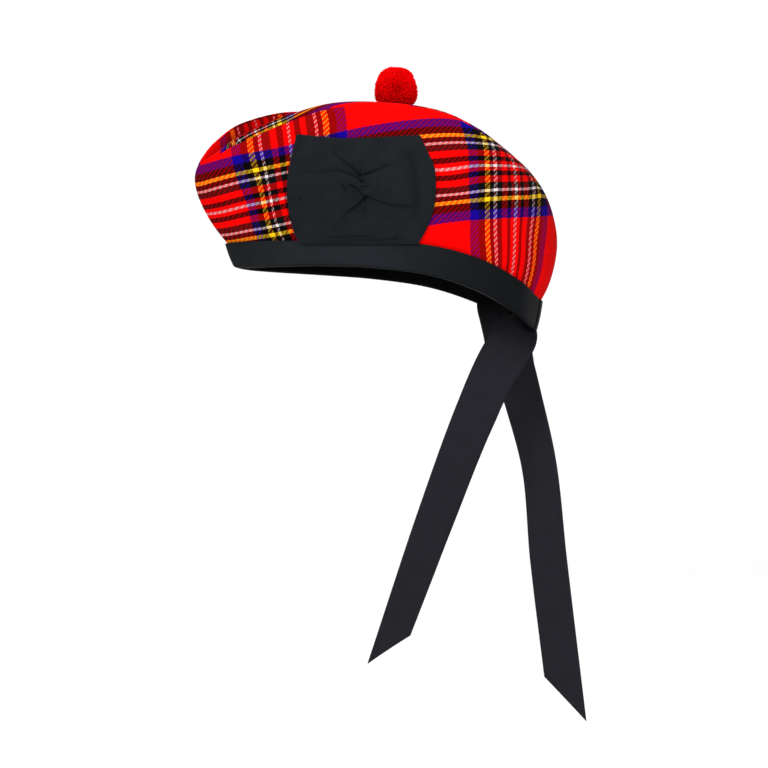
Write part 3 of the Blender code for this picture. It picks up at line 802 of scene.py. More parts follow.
# place on the cloth, pull along and pull up, in mm
PULL_SPOTS = ((-41, 4, -3.3, -0.6), (-32, -23, 1.7, 0.2), (-30, 45, 2.1, -0.2),
              (-81, 29, 0.0, 1.3), (130, 39, 4.7, 0.7), (157, 32, -0.4, 0.3),
              (197, -4, -3.6, -1.6), (176, -46, 2.0, 0.0), (145, -66, -1.9, 0.0),
              (113, -31, -2.7, -0.6), (33, 48, -2.3, 0.5), (114, -8, 0.0, 1.9))
SPOT_MM = 16.0


def pulled(flat):
    a, b = flat[..., 0] / 100, flat[..., 1] / 100
    powers = (a, b, a * a, a * b, b * b, a ** 3, a * a * b, a * b * b, b ** 3)
    across = sum(share * power for share, power in zip(PULL_ACROSS, powers))
    up = sum(share * power for share, power in zip(PULL_UP, powers))
    for x, y, pull_across, pull_up in PULL_SPOTS:
        near = np.exp(-((flat[..., 0] - x) ** 2 + (flat[..., 1] - y) ** 2) / SPOT_MM ** 2)
        across = across + pull_across * near
        up = up + pull_up * near
    return flat + np.stack((across, up), axis=-1)


# section, and how much painted shade darkens the cloth there
SIDE_SHADE = ((0, 0.12), (0.8, 0.03), (2, 0.0), (7.8, 0.0), (8.8, 0.14), (9.5, 0.36), (10, 0.52))
# painted shade just above the band, and how soon that fades
BAND_SHADE, BAND_SHADE_MM = 0.25, 2.5


def side_painted_shade(outer):
    """How much painted shade darkens the cloth where its ends turn away and at the foot of the wall."""
    ends = np.interp(places, *zip(*SIDE_SHADE))[:, None]
    up = 1000 * distance_from(outer, 1, False)
    above = np.abs(up - up[:, TUCK_STEPS:TUCK_STEPS + 1])
    return np.maximum(ends, BAND_SHADE * np.exp(-above / BAND_SHADE_MM))


def make_side(side, name, solid):
    grid = walls[side]
    normals = normals_of(grid)
    if normals[SECTIONS // 2, TUCK_STEPS + 2, 1] * side < 0:
        normals = -normals
    flat = lay_flat(grid, (SECTIONS // 5, MIDDLE_ROW), (SECTIONS * 4 // 5, MIDDLE_ROW))
    depth = sum(seam_depth(distance_from(grid, axis, end))
                for axis, end in ((1, True), (0, False), (0, True)))
    outer = grid + normals * (wall_relief(grid, side) - depth)[..., None]
    inner = grid - normals * CLOTH
    for points in (outer, inner):
        points[..., 1] = side * np.maximum(side * points[..., 1], 0.0)
    piece = cloth_shell(name, outer, inner, pulled(cut_on(flat, SIDE_ANGLE, SIDE_PIVOT)),
                        (tartan_cloth, hollow_shade), side_painted_shade(outer))
    settle(piece, solid)


make_side(-1, "left_side_cloth", "left_side_panel")
make_side(1, "right_side_cloth", "right_side_panel")

# %% [markdown]
# The top panel is a lens with a crease down its middle. Its tartan is followed along the left
# seam, where a table says which place of the sett meets the seam. Across, the two walls of the
# crease show and the cloth between them is hidden. Towards the front, the stripes of the near
# wall run closer and the hidden part is eased, so that the far wall starts at its own place of
# the sett. That is simpler than to bend the cloth as it was sewn. The painted shade map darkens
# the bottom of the crease and the far wall inside it with painted shade.

# %% Top panel
TIP_WIDTH = 0.004
# along the left seam in mm, place across the sett
TOP_SEAM = ((-7, 44.0), (5, 42.0), (11, 34.0), (22, -22.0), (33, -25.5), (49, -26.5),
            (65, -28.0), (80, -33.5), (96, -40.0), (111, -47.0), (128, -53.0), (144, -56.0),
            (172, -52.0), (197, -43.0), (217, -31.0), (239, -12.0))
TOP_PIVOT_MM = 39.7
TOP_FRONT_SCALE, TOP_FRONT_MM = 1.3, 30
FAR_WALL_PLACE = 42.0
NEAR_MM, FAR_MM, FULL_WIDTH_MM = 8.0, 24.0, 65.0
# where along the panel the hidden part is eased, and where the near wall is drawn closer
EASE_TO_MM, EASE_OVER_MM = 105, 30
CLOSE_TO_MM, CLOSE_OVER_MM = 95, 35
MOST_EASE, NEAR_SCALE = 2.4, 2.0
LEAST = 0.1


def top_lie(flat):
    """The tartan places of the top panel, which follow its left seam."""
    along, across = flat[:, :1, 0], flat[..., 1] - flat[:, :1, 1]
    share = np.clip(across[:, -1:] / FULL_WIDTH_MM, LEAST, 1)
    near, far = NEAR_MM * share, FAR_MM * share
    seam = np.interp(flat[:, 0, 0], *zip(*TOP_SEAM))[:, None]
    hidden = np.maximum(across[:, -1:] - near - far, LEAST)
    close = 1 + (NEAR_SCALE - 1) * fade(along, CLOSE_TO_MM, -CLOSE_OVER_MM)
    wanted = (FAR_WALL_PLACE - seam - close * near) / hidden
    ease = 1 + fade(along, EASE_TO_MM, -EASE_OVER_MM) * (np.clip(wanted, 1, MOST_EASE) - 1)
    up = seam + close * np.minimum(across, near) + ease * np.clip(across - near, 0, hidden)
    up += np.maximum(across - near - hidden, 0)
    run = flat[..., 0] - TOP_PIVOT_MM
    run = run + (TOP_FRONT_SCALE - 1) * np.minimum(run, TOP_FRONT_MM)
    return np.stack((run, up), axis=2)


FOLD_MM, FOLD_POWER = 9.0, 0.7
FOLD_SHADE, FAR_SHADE = 0.68, 0.42
# the far wall has painted shade from here to there along the panel, and how softly that starts and ends
FAR_FROM_MM, FAR_IN_MM, FAR_TO_MM, FAR_OUT_MM = 8, 14, 90, 40


def top_painted_shade(outer, flat):
    """How much painted shade darkens the cloth in the crease of the top and on its far wall."""
    along = flat[:, :1, 0]
    share = np.linspace(0, 1, outer.shape[1])
    chord = outer[:, :1, 2] * (1 - share) + outer[:, -1:, 2] * share
    sunk = fade((chord - outer[..., 2]) * 1000, 0, FOLD_MM)
    inside = fade(along, FAR_FROM_MM, FAR_IN_MM) * fade(along, FAR_TO_MM, -FAR_OUT_MM)
    far = FAR_SHADE * inside * np.clip(3 * share - 1, 0, 1)
    return np.maximum(FOLD_SHADE * sunk ** FOLD_POWER, far)


def make_top():
    width = top[:, -1, 1] - top[:, 0, 1]
    keep = np.nonzero(width > TIP_WIDTH)[0]
    grid = top[keep]
    normals = normals_of(grid)
    middle = TOP_STEPS // 2
    if normals[len(keep) // 2, middle, 2] < 0:
        normals = -normals
    flat = lay_flat(grid, (len(keep) // 8, middle), (len(keep) * 7 // 8, middle))
    depth = seam_depth(distance_from(grid, 1, False)) + seam_depth(distance_from(grid, 1, True))
    thickness = np.minimum(CLOTH, 0.3 * width[keep])[:, None]
    outer = grid - normals * np.minimum(depth, 0.5 * thickness)[..., None]
    inner = grid - normals * thickness[..., None]
    for points in (outer, inner):
        points[:, 0, 1] += GAP
        points[:, -1, 1] -= GAP
    piece = cloth_shell("top_cloth", outer, inner, top_lie(flat), (tartan_cloth, hollow_shade),
                        top_painted_shade(outer, flat))
    settle(piece, "top_panel")


make_top()

# %% [markdown]
# ## The binding
#
# A black grosgrain ribbon is folded over the lower edge of the cap. Its section is a narrow U
# with a round fold at the bottom. That section is swept round the rim and closed on itself.
# Grosgrain has fine ribs across its width, which a second shader group draws by length. No
# ribbon is woven evenly, so a noise moves each rib a little and changes the tone.

# %% Rib as a group
def make_rib():
    group, given, result = new_group(
        "ribbon_rib", (("Place", (0.0, 0.0, 0.0)), ("Pitch", 1.0), ("Unevenness", 0.2)),
        (("Height", "NodeSocketFloat"), ("Rib_tone", "NodeSocketFloat")))
    calc = partial(math_node, group)
    noise = node(group, "ShaderNodeTexNoise")
    fill(group, (noise.inputs["Scale"], noise.inputs["Detail"], noise.inputs["Vector"]),
         (0.08, 4.0, given["Place"]))
    uneven = calc("MULTIPLY", noise.outputs["Fac"], given["Unevenness"])
    along = calc("ADD", axes_of(group, given["Place"])[1], uneven)
    turn = calc("MULTIPLY", calc("DIVIDE", along, given["Pitch"]), 2 * math.pi)
    height = calc("MULTIPLY", calc("ADD", calc("SINE", turn), 1.0), 0.5)
    group.links.new(height, result["Height"])
    group.links.new(noise.outputs["Fac"], result["Rib_tone"])
    return group


rib = make_rib()


# %% Black ribbon finishes
RIBBON_HAIRS, RIBBON_RELIEF = 0.4, 0.00012


def ribbed(tree, pitch):
    """The ribs and the hairs of a ribbon."""
    flat = read_map(tree, "cloth_mm")
    return (use_group(tree, rib, Place=flat, Pitch=pitch, Unevenness=0.6),
            use_group(tree, hair, Place=flat, Scale=2.0))


def half_sum(tree, first, second):
    return math_node(tree, "MULTIPLY", math_node(tree, "ADD", first, second), 0.5)


def make_ribbon(name, dark, light, roughness, pitch, strength):
    material, tree, shader = principled(name, dark, roughness, 0.03)
    ribs, fuzz = ribbed(tree, pitch)
    # the tone is painted lighter on the crests of the ribs and darker between them, as light and shade,
    # and a noise adds the ribbon's own uneven tone
    cloth = mix_colours(tree, half_sum(tree, ribs["Rib_tone"], ribs["Height"]), dark, light)
    # painted shade goes over to this near black
    paint(tree, shader, cloth, (0.0006, 0.0006, 0.0007))
    hairy_bump(tree, shader, ribs["Height"], fuzz, RIBBON_HAIRS, strength, RIBBON_RELIEF)
    return material


binding_ribbon = make_ribbon("binding_grosgrain", (0.0070, 0.0088, 0.0108),
                             (0.0150, 0.0175, 0.0205), 0.55, 0.9, 0.35)
tail_ribbon = make_ribbon("tail_grosgrain", (0.0098, 0.0098, 0.0132),
                          (0.0165, 0.0165, 0.0215), 0.60, 1.1, 0.4)

# %% [markdown]
# The ribbon of the binding bulges a little between its edge and its fold, and waves faintly where
# stitches hold it. Its painted shade map darkens the inner half of the U and the foot, which turns
# away from the light, and follows a table along the rim. On the flat map of the binding and its
# tab, the width is the way round the U and the length the way round the rim.

# %% Binding
BINDING_THICKNESS = 0.0008
FOLD_RADIUS = 0.0020
BAND_BULGE = 0.0005
TAB_LIFT = 0.0006
RING_STEPS = 160
LEG_STEPS, BEND_PARTS = 10, 8
# depth of a faint wave and the millimetres that it turns by
WAVES = ((0.00015, 9), (0.00010, 4.3))


def u_path(height, width, radius):
    """The folded ribbon: (inward, rise) from its outer top edge round to its inner top edge."""
    path = [(0.0, height - (height - radius) * k / LEG_STEPS) for k in range(LEG_STEPS)]
    for k in range(BEND_PARTS + 1):
        angle = math.pi / 2 * k / BEND_PARTS
        path.append((radius * (1 - math.cos(angle)), radius * (1 - math.sin(angle))))
    path += [(width - inward, rise) for inward, rise in reversed(path)]
    path = np.array(path)
    path[:, 0] -= np.where(path[:, 0] < width / 2, 1, -1) * BAND_BULGE * np.sin(
        math.pi * np.clip(path[:, 1] / height, 0, 1))
    return path


def thick_path(path, thickness):
    """The path and its copy one thickness inside, as one closed outline."""
    run = np.gradient(path, axis=0)
    normal = np.stack((-run[:, 1], run[:, 0]), axis=1)
    normal /= np.linalg.norm(normal, axis=1, keepdims=True)
    middle = np.array((path[:, 0].mean(), path[:, 1].max()))
    if np.sum((middle - path[0]) * normal[0]) < 0:
        normal = -normal
    return np.vstack((path, (path + normal * thickness)[::-1]))


def binding_frame(s, side, cover):
    upper, lower = rim_points(s, side)
    out = outward(s, side)
    height = np.linalg.norm(upper - lower)
    up = (upper - lower) / height
    depth = 2 * (RIBBON + GAP) + CLOTH + RIBBON
    if cover:
        lower = lower + (out - up) * TAB_LIFT
        depth += 2 * TAB_LIFT
        height += TAB_LIFT
    return lower, out, up, height, depth


# section, and how much painted shade darkens the binding there
BINDING_SHADE = ((0, 0.5), (1.8, 0.4), (3.5, 0.0), (5, 0.0), (6.5, 0.5), (8, 0.75), (10, 0.8))
INSIDE_SHADE, INSIDE_FROM, INSIDE_OVER = 0.95, 0.4, 0.2
FOOT_SHADE, FOOT_RISE, FOOT_START = 0.7, 0.0018, 1.2


def binding_painted_shade(s, outline, depth):
    """How much painted shade darkens the ribbon at each point of the outline."""
    inward, rise = outline[:, 0], outline[:, 1]
    inside = INSIDE_SHADE * fade(inward / depth, INSIDE_FROM, INSIDE_OVER)
    foot = FOOT_SHADE * np.clip(FOOT_START - rise / FOOT_RISE, 0, 1)
    return np.maximum(np.interp(s, *zip(*BINDING_SHADE)), np.maximum(inside, foot))


def tube_faces(count, sides, closed):
    faces = []
    for i in range(count if closed else count - 1):
        for j in range(sides):
            k, n = (j + 1) % sides, (i + 1) % count
            faces.append((i * sides + j, i * sides + k, n * sides + k, n * sides + j))
    ends = () if closed else ((0, 1), ((count - 1) * sides, -1))
    for first, turn in ends:
        for j in range(sides // 2 - 1):
            face = (first + j, first + sides - 1 - j, first + sides - 2 - j, first + j + 1)
            faces.append(face[::turn])
    return faces


def swept(name, stations, cover, closed, material):
    vertices, flats, shades, widths, lowers = [], [], [], [], []
    length = 0.0
    for s, side in stations:
        lower, out, up, height, depth = binding_frame(s, side, cover)
        path = u_path(height, depth, FOLD_RADIUS)
        outline = thick_path(path, BINDING_THICKNESS)
        widths.append(float(np.linalg.norm(np.diff(path, axis=0), axis=1).sum()))
        if lowers:
            length += 1000 * np.linalg.norm(lower - lowers[-1])
        lowers.append(lower)
        wave = sum(deep * math.sin(length / long) for deep, long in WAVES)
        vertices += [lower - out * (inward - wave) + up * rise for inward, rise in outline]
        run = np.concatenate(((0,), np.cumsum(np.linalg.norm(np.diff(outline, axis=0), axis=1))))
        flats += [(1000 * r, length) for r in run]
        # painted shade of the binding at each point of the outline
        shades += [(shade, shade) for shade in binding_painted_shade(s, outline, depth)]
    faces = tube_faces(len(lowers), len(vertices) // len(lowers), closed)
    piece = link_mesh(name, vertices, faces, (material,))
    add_map(piece, "cloth_mm", flats)
    add_map(piece, "fold", shades)
    if closed:
        length += 1000 * np.linalg.norm(lowers[-1] - lowers[0])
    return face_outward(piece)


stations = [(s, -1) for s in np.linspace(0, LAST, RING_STEPS)]
stations += [(s, 1) for s in np.linspace(LAST, 0, RING_STEPS)[1:-1]]
rim_binding = swept("rim_binding", stations, False, True, binding_ribbon)
settle(rim_binding, "rim_band")

# %% [markdown]
# The two ends of the binding meet at the back, under a short tab of the same ribbon.

# %% Join tab
JOIN_SECTIONS = 0.8
fan = np.linspace(LAST - JOIN_SECTIONS, LAST, 14)
tab_stations = [(s, -1) for s in fan] + [(s, 1) for s in fan[-2::-1]]
settle(swept("join_tab", tab_stations, True, False, binding_ribbon), "band_join")

# %% [markdown]
# ## The tails
#
# Two ribbons are sewn inside the back of the binding and hang down, crossing once. Where a
# ribbon is sewn it bows with the binding, and below it twists and falls free. Each is a flat
# strip of ribbon that is only bent and turned, so it keeps its width all along. The painted shade
# map darkens each tail under the band with painted shade, where the cap above it takes the light.

# %% Where a tail is sewn
TAIL_WIDTH = 0.034
TAIL_CLEARANCE = 0.0015
TAIL_TUCK = 0.010
TAIL_STEPS = 150
TAIL_SPREAD = 1.6
TAIL_COLUMNS = 14
TAIL_THICKNESS = 0.0007
CUT_FROM = 0.85
REACH_STEP = 0.02


def tail_seat(section, side):
    """Where a tail's top lies in the binding: its edges, its turn in degrees and its bow."""
    depth = 2 * (RIBBON + GAP) + CLOTH + RIBBON + RIBBON / 2 + TAIL_CLEARANCE
    if section > LAST - 2 * JOIN_SECTIONS:
        depth += RIBBON + GAP
    reach = span = 0.0
    while span < TAIL_WIDTH:
        reach += REACH_STEP
        corners = []
        for s in (section - reach, section, min(section + reach, LAST)):
            corners.append([point - outward(s, side) * depth for point in rim_points(s, side)])
        span = np.linalg.norm(corners[2][1] - corners[0][1])
    upper = (corners[0][0] + corners[2][0]) / 2
    lower = (corners[0][1] + corners[2][1]) / 2
    bow = np.linalg.norm((corners[1][1] - lower)[:2])
    chord = corners[2][1] - corners[0][1]
    return upper, lower, math.degrees(math.atan2(chord[1], chord[0])), bow


# %% How a tail falls
# down, forward, left, free of its seat, turn in degrees
FRONT_FALL = ((0.000, 0.003, -0.009, 0.60, 8), (0.026, 0.009, -0.009, 0.92, 6),
              (0.042, 0.014, -0.006, 1.00, 5), (0.060, 0.023, -0.005, 1.00, 5),
              (0.095, 0.044, -0.006, 1.00, 6), (0.156, 0.078, -0.009, 1.00, 18),
              (0.279, 0.132, -0.015, 1.00, 25), (0.587, 0.249, -0.028, 1.00, 35),
              (1.000, 0.395, -0.033, 1.00, 48))
BACK_FALL = ((0.000, -0.003, 0.006, 0.50, -50), (0.030, -0.006, 0.014, 0.80, -55),
             (0.060, -0.018, 0.018, 1.00, -44), (0.093, -0.040, 0.017, 1.00, -30),
             (0.148, -0.055, 0.023, 1.00, -32), (0.226, -0.076, 0.034, 1.00, -37),
             (0.372, -0.112, 0.055, 1.00, -43), (0.642, -0.140, 0.090, 1.00, -40),
             (1.000, -0.182, 0.131, 1.00, -41))


def tail_frames(fall, drop, section, side):
    """At each step: place, way across the ribbon, way it faces, way down and bow."""
    upper, lower, seat_turn, bow = tail_seat(section, side)
    lean = (upper - lower) * (1 - TAIL_TUCK / np.linalg.norm(upper - lower)) / drop
    rows = np.array(((-lean[2], -lean[0], -lean[1], 0.0, 0.0),) + fall)
    points, turns, bows = [], [], []
    for share in np.linspace(0, 1, TAIL_STEPS + 1) ** TAIL_SPREAD:
        t = rows[0, 0] + (1 - rows[0, 0]) * share
        down, forward, left, free, turn = (smooth_through(rows[:, 0], rows[:, c], t)
                                           for c in range(5))
        points.append(lower + drop * np.array((-forward, -left, -down)))
        turns.append(math.radians(seat_turn * (1 - free) + turn * free))
        bows.append(-side * bow * (1 - min(1.0, max(0.0, free))))
    tangents = np.gradient(np.array(points), axis=0)
    tangents /= np.linalg.norm(tangents, axis=1, keepdims=True)
    frames = []
    for point, turn, tangent, bow in zip(points, turns, tangents, bows):
        face = np.array((math.sin(turn), -math.cos(turn), 0.0))
        face -= tangent * np.dot(face, tangent)
        face /= np.linalg.norm(face)
        frames.append((point, np.cross(face, tangent), face, tangent, bow))
    return frames


# %% Ribbon from its frames
CURL, CURL_FROM, CURL_TURNS = 0.0006, 0.3, 5.0
# painted shade under the band: how dark at the top, and how far down it fades, in mm
UNDER_SHADE, UNDER_MM = 0.85, 26.0


def make_tail(name, solid, fall, drop, section, side, cut):
    frames = tail_frames(fall, drop, section, side)
    across = np.linspace(-1, 1, TAIL_COLUMNS + 1)
    front, back, flat, shade = [], [], [], []
    length = 0.0
    for i, (point, wide, face, tangent, bow) in enumerate(frames):
        if i:
            length += 1000 * np.linalg.norm(point - frames[i - 1][0])
        slant = math.tan(cut) * max(0.0, i / TAIL_STEPS - CUT_FROM) / (1 - CUT_FROM)
        free = min(1.0, i / (CURL_FROM * TAIL_STEPS))
        curl = CURL * free * math.sin(CURL_TURNS * i / TAIL_STEPS + side)
        edge = [point + (wide + tangent * slant) * a * TAIL_WIDTH / 2
                + face * (bow + curl) * (1 - a * a) for a in across]
        front.append([p + face * TAIL_THICKNESS / 2 for p in edge])
        back.append([p - face * TAIL_THICKNESS / 2 for p in edge])
        flat.append([(500 * TAIL_WIDTH * a, length + 500 * TAIL_WIDTH * a * slant)
                     for a in across])
        shade.append([UNDER_SHADE * math.exp(-(length / UNDER_MM) ** 2)] * len(across))
    piece = cloth_shell(name, np.array(front), np.array(back), np.array(flat), (tail_ribbon,),
                        np.array(shade))
    settle(piece, solid)
    print(name, "is", round(length), "mm long")


make_tail("front_tail", "tail_ribbon_front", FRONT_FALL, 0.2380, 9.0, -1, -math.radians(38))
make_tail("back_tail", "tail_ribbon_back", BACK_FALL, 0.2849, 7.70, 1, math.radians(46))

# %% [markdown]
# ## The cockade
#
# A wide black ribbon is looped and twisted once in its middle, so its left and right lobes cross
# over flatter cloth above and below. It is modelled as one relief over a bent rectangle. Each
# fold is a line with a raised lip on one side that falls off slowly, and a drop on the other.
# Those steps catch the light as real overlaps do. How deep a place lies in a crease, with a softer
# band beside it that is lighter on the raised lip, is its painted shade map: black cloth looks
# darkest where it is folded in, and that shade is painted.

# %% Cockade outline
COCKADE_LENGTH = 0.0900
COCKADE_FRONT = -0.0640
COCKADE_FOOT = 0.0326
COCKADE_HEIGHT = 0.0798
COCKADE_STEPS = (215, 190)
COCKADE_TOP = ((0.0, 0.0), (0.33, -0.044), (0.7, -0.040), (0.9, -0.028), (1.0, -0.025))
COCKADE_FORE = ((0.0, -0.045), (0.05, -0.012), (0.23, 0.042), (0.4, 0.068), (0.6, 0.068),
                (0.875, 0.020), (1.0, -0.004))
COCKADE_AFT = ((0.0, -0.028), (0.12, 0.030), (0.26, 0.080), (0.565, 0.112), (0.72, 0.097),
               (0.84, 0.052), (1.0, -0.012))

# places on the cockade, strength at both ends, width of the crease, lip and its fall in mm;
# a lip above 0 is on the left of the way along the crease
COCKADE_CREASES = (
    (((0.293, 0.822), (0.380, 0.742), (0.451, 0.680), (0.514, 0.613)), (0.2, 1.0), 0.6, -0.5, 5),
    (((0.041, 0.653), (0.168, 0.644), (0.333, 0.662), (0.412, 0.636), (0.499, 0.591),
      (0.530, 0.555)), (0.1, 1.0), 0.6, -0.9, 7),
    (((0.518, 0.698), (0.518, 0.618)), (0.2, 0.8), 0.5, 0.0, 3),
    (((0.546, 0.618), (0.632, 0.653), (0.727, 0.698), (0.830, 0.724)), (1.0, 0.1), 0.6, -0.6, 6),
    (((0.439, 0.528), (0.482, 0.501), (0.546, 0.435), (0.656, 0.386), (0.780, 0.342),
      (0.924, 0.333)), (0.8, 0.4), 0.7, 1.0, 8),
    (((0.562, 0.422), (0.499, 0.351), (0.412, 0.289), (0.365, 0.228), (0.310, 0.164)),
     (1.0, 0.1), 0.7, -0.9, 8),
    (((0.530, 0.510), (0.597, 0.524)), (0.8, 0.2), 0.5, 0.2, 3),
    (((0.380, 0.528), (0.395, 0.484), (0.415, 0.454)), (0.8, 0.3), 0.5, 0.3, 3),
    (((0.554, 0.404), (0.546, 0.289), (0.522, 0.200)), (0.6, 0.0), 0.7, 0.2, 5),
    (((0.183, 0.026), (0.298, 0.026), (0.630, 0.036), (0.798, 0.054)), (0.3, 0.6), 0.5, 0.3, 3),
    (((0.278, 0.066), (0.380, 0.070), (0.593, 0.075)), (0.4, 0.5), 0.5, 0.2, 3),
    (((0.900, 0.795), (0.940, 0.662), (0.955, 0.572), (0.955, 0.351), (0.940, 0.253)),
     (0.3, 0.3), 2.0, 0.0, 5),
    (((0.033, 0.413), (0.077, 0.386)), (0.6, 0.2), 0.5, 0.2, 3),
)
CREASE_DEPTH_MM = 1.3
# the grooves are this much wider than the table says
WIDER = 1.5
LIP_STEP_MM = 0.4
SOFT_SHADE, SOFT_MM, SOFT_LIT = 0.6, 3.0, 0.8


def crease_relief(x, y):
    """Relief in mm, and painted shade from 0 to 1 in and beside the creases, at places in mm."""
    scale = np.array((1000 * COCKADE_LENGTH, 1000 * COCKADE_HEIGHT))
    relief, crease = np.zeros_like(x), np.zeros_like(x)
    for line, (first, last), width, lip, fall in COCKADE_CREASES:
        line = np.array(line) * scale
        nearest = np.full_like(x, 1e9)
        strength, left = np.zeros_like(x), np.zeros_like(x)
        for k in range(len(line) - 1):
            (ax, ay), (bx, by) = line[k], line[k + 1]
            dx, dy = bx - ax, by - ay
            length = math.hypot(dx, dy)
            share = np.clip(((x - ax) * dx + (y - ay) * dy) / length ** 2, 0, 1)
            away = np.hypot(x - ax - share * dx, y - ay - share * dy)
            closer = away < nearest
            nearest = np.where(closer, away, nearest)
            strength = np.where(closer, first + (last - first) * (k + share) / (len(line) - 1),
                                strength)
            left = np.where(closer, ((y - ay) * dx - (x - ax) * dy) / length, left)
        groove = strength * np.exp(-(nearest / (WIDER * width)) ** 2)
        raised = 0.5 + 0.5 * np.tanh(math.copysign(1, lip) * left / LIP_STEP_MM)
        relief += strength * abs(lip) * raised * np.exp(-nearest / fall)
        relief -= CREASE_DEPTH_MM * groove
        # painted shade: the groove itself, and a soft band beside it that is less on the raised lip
        soft = SOFT_SHADE * strength * np.exp(-nearest / SOFT_MM) * (1 - SOFT_LIT * raised)
        crease = np.maximum(crease, np.maximum(groove, soft))
    return relief, crease


# %% [markdown]
# The relief needs something to lie on. A ray from the left finds the cap behind each point of
# the grid. That seat has the binding's step in it, which real ribbon bridges, so the lying face
# is eased many times and never goes behind the seat. On it come the ribbon's body, the two lobes
# and the knot, which thin out at the border.

# %% Cockade
COCKADE_CLEARANCE, EASE_ROUNDS = 0.0006, 60
COCKADE_EDGE, EDGE_POWER = 0.006, 0.6
COCKADE_THIN, COCKADE_BODY_MM, LEAST_MM = 0.0012, 1.4, 0.1
# height in mm, then middle and size as shares of the cockade's length and height
LOBE_MM, LOBE_MIDDLE, LOBE_TALL, LOBE_WIDE, LOBE_LEAST = 1.8, 0.55, 0.20, 0.35, 0.35
KNOT_MM, KNOT_MIDDLE, KNOT_SIZE = 2.0, (0.50, 0.54), (0.10, 0.13)


def tree_of(*pieces):
    vertices, polygons = [], []
    for piece in pieces:
        first = len(vertices)
        vertices += [v.co.copy() for v in piece.data.vertices]
        polygons += [[first + i for i in p.vertices] for p in piece.data.polygons]
    return BVHTree.FromPolygons(vertices, polygons)


def column(rows, at):
    return smooth_through([row[0] for row in rows], [row[1] for row in rows], at)


def cockade_seat():
    """Where each grid point is along and up, and where the cap lies behind it."""
    tree = tree_of(bpy.data.objects["left_side_cloth"], rim_binding)
    columns, rows = COCKADE_STEPS
    x, z, seat = (np.zeros((columns + 1, rows + 1)) for _ in range(3))
    for i in range(columns + 1):
        u = i / columns
        sag = column(COCKADE_TOP, u)
        for j in range(rows + 1):
            v = j / rows
            fore, aft = column(COCKADE_FORE, v), column(COCKADE_AFT, v)
            x[i, j] = COCKADE_FRONT + COCKADE_LENGTH * (u - fore * (1 - u) + aft * u)
            z[i, j] = COCKADE_FOOT + COCKADE_HEIGHT * v * (1 + sag)
            hit = tree.ray_cast(Vector((x[i, j], -RIM_WIDTH, z[i, j])), Vector((0, 1, 0)))[0]
            seat[i, j] = hit.y - COCKADE_CLEARANCE
    return x, z, seat


def eased_over(seat):
    lying = seat.copy()
    for _ in range(EASE_ROUNDS):
        padded = np.pad(lying, 1, mode="edge")
        lying = (padded[:-2, 1:-1] + padded[2:, 1:-1] + padded[1:-1, :-2] + padded[1:-1, 2:]) / 4
        lying = np.minimum(lying, seat)
    return lying


def near_border(shape):
    """0 at the border of the ribbon and 1 well inside."""
    columns, rows = np.linspace(0, 1, shape[0])[:, None], np.linspace(0, 1, shape[1])[None, :]
    edge = np.minimum(np.minimum(columns, 1 - columns) * COCKADE_LENGTH,
                      np.minimum(rows, 1 - rows) * COCKADE_HEIGHT)
    return fade(edge, 0, COCKADE_EDGE) ** EDGE_POWER


def make_cockade(material):
    x, z, seat = cockade_seat()
    lying = eased_over(seat)
    u = (x - COCKADE_FRONT) / COCKADE_LENGTH
    v = (z - COCKADE_FOOT) / COCKADE_HEIGHT
    relief, crease = crease_relief(u * 1000 * COCKADE_LENGTH, v * 1000 * COCKADE_HEIGHT)
    lobe = LOBE_MM * np.exp(-((v - LOBE_MIDDLE) / LOBE_TALL) ** 2) * np.clip(
        np.abs(u - 0.5) / LOBE_WIDE, LOBE_LEAST, 1)
    knot = KNOT_MM * np.exp(-((u - KNOT_MIDDLE[0]) / KNOT_SIZE[0]) ** 2
                            - ((v - KNOT_MIDDLE[1]) / KNOT_SIZE[1]) ** 2)
    height = COCKADE_THIN + 0.001 * near_border(x.shape) * np.maximum(
        COCKADE_BODY_MM + relief + lobe + knot, LEAST_MM)
    outer = np.stack((x, lying - height, z), axis=2)
    inner = np.stack((x, lying, z), axis=2)
    flat = np.stack((1000 * x, 1000 * z), axis=2)
    # the crease values are the cockade's painted shade map
    piece = cloth_shell("twisted_cockade", outer, inner, flat, (material,), crease)
    settle(piece, "cockade")
    print("cockade stands up to", round(1000 * float(height.max()), 1), "mm off its seat")


def make_cockade_cloth():
    material, tree, shader = principled("cockade_ribbon", (0.010, 0.012, 0.014), 0.62, 0.03)
    ribs, fuzz = ribbed(tree, 0.6)
    cloth = mix_colours(tree, half_sum(tree, ribs["Rib_tone"], fuzz["Fine"]),
                        (0.0020, 0.0030, 0.0045), (0.0140, 0.0160, 0.0185))
    # painted shade goes over to this near black
    paint(tree, shader, cloth, (0.001, 0.001, 0.001))
    hairy_bump(tree, shader, ribs["Height"], fuzz, RIBBON_HAIRS, 0.25, RIBBON_RELIEF)
    return material


make_cockade(make_cockade_cloth())

# %% [markdown]
# ## The pompom
#
# The pompom is a ball of cut wool yarn, tied in its middle and trimmed round. A smooth ball
# would look like a bead, so it is grown from thousands of short tufts that all start near the
# tie. Their tips make a dense, slightly lumpy surface, pressed flat where it sits on the cap.

# %% Yarn
def make_yarn():
    material, tree, shader = principled("pompom_wool", (0.95, 0.002, 0.002), 0.95, 0.02)
    flat = read_map(tree, "cloth_mm")
    tone, along = axes_of(tree, flat)[:2]
    # each tuft is painted darker towards its root, deep in the ball, as painted shade; its own random
    # tone comes on top
    deep = mix_colours(tree, along, (0.66, 0.0, 0.0), (0.96, 0.001, 0.002))
    own = mix_colours(tree, math_node(tree, "MULTIPLY", tone, 0.20), deep, (0.55, 0.0, 0.001))
    tree.links.new(own, shader.inputs["Base Color"])
    bump_into(tree, shader, use_group(tree, hair, Place=flat, Scale=30.0)["Fine"], 0.3, 0.0002)
    return material


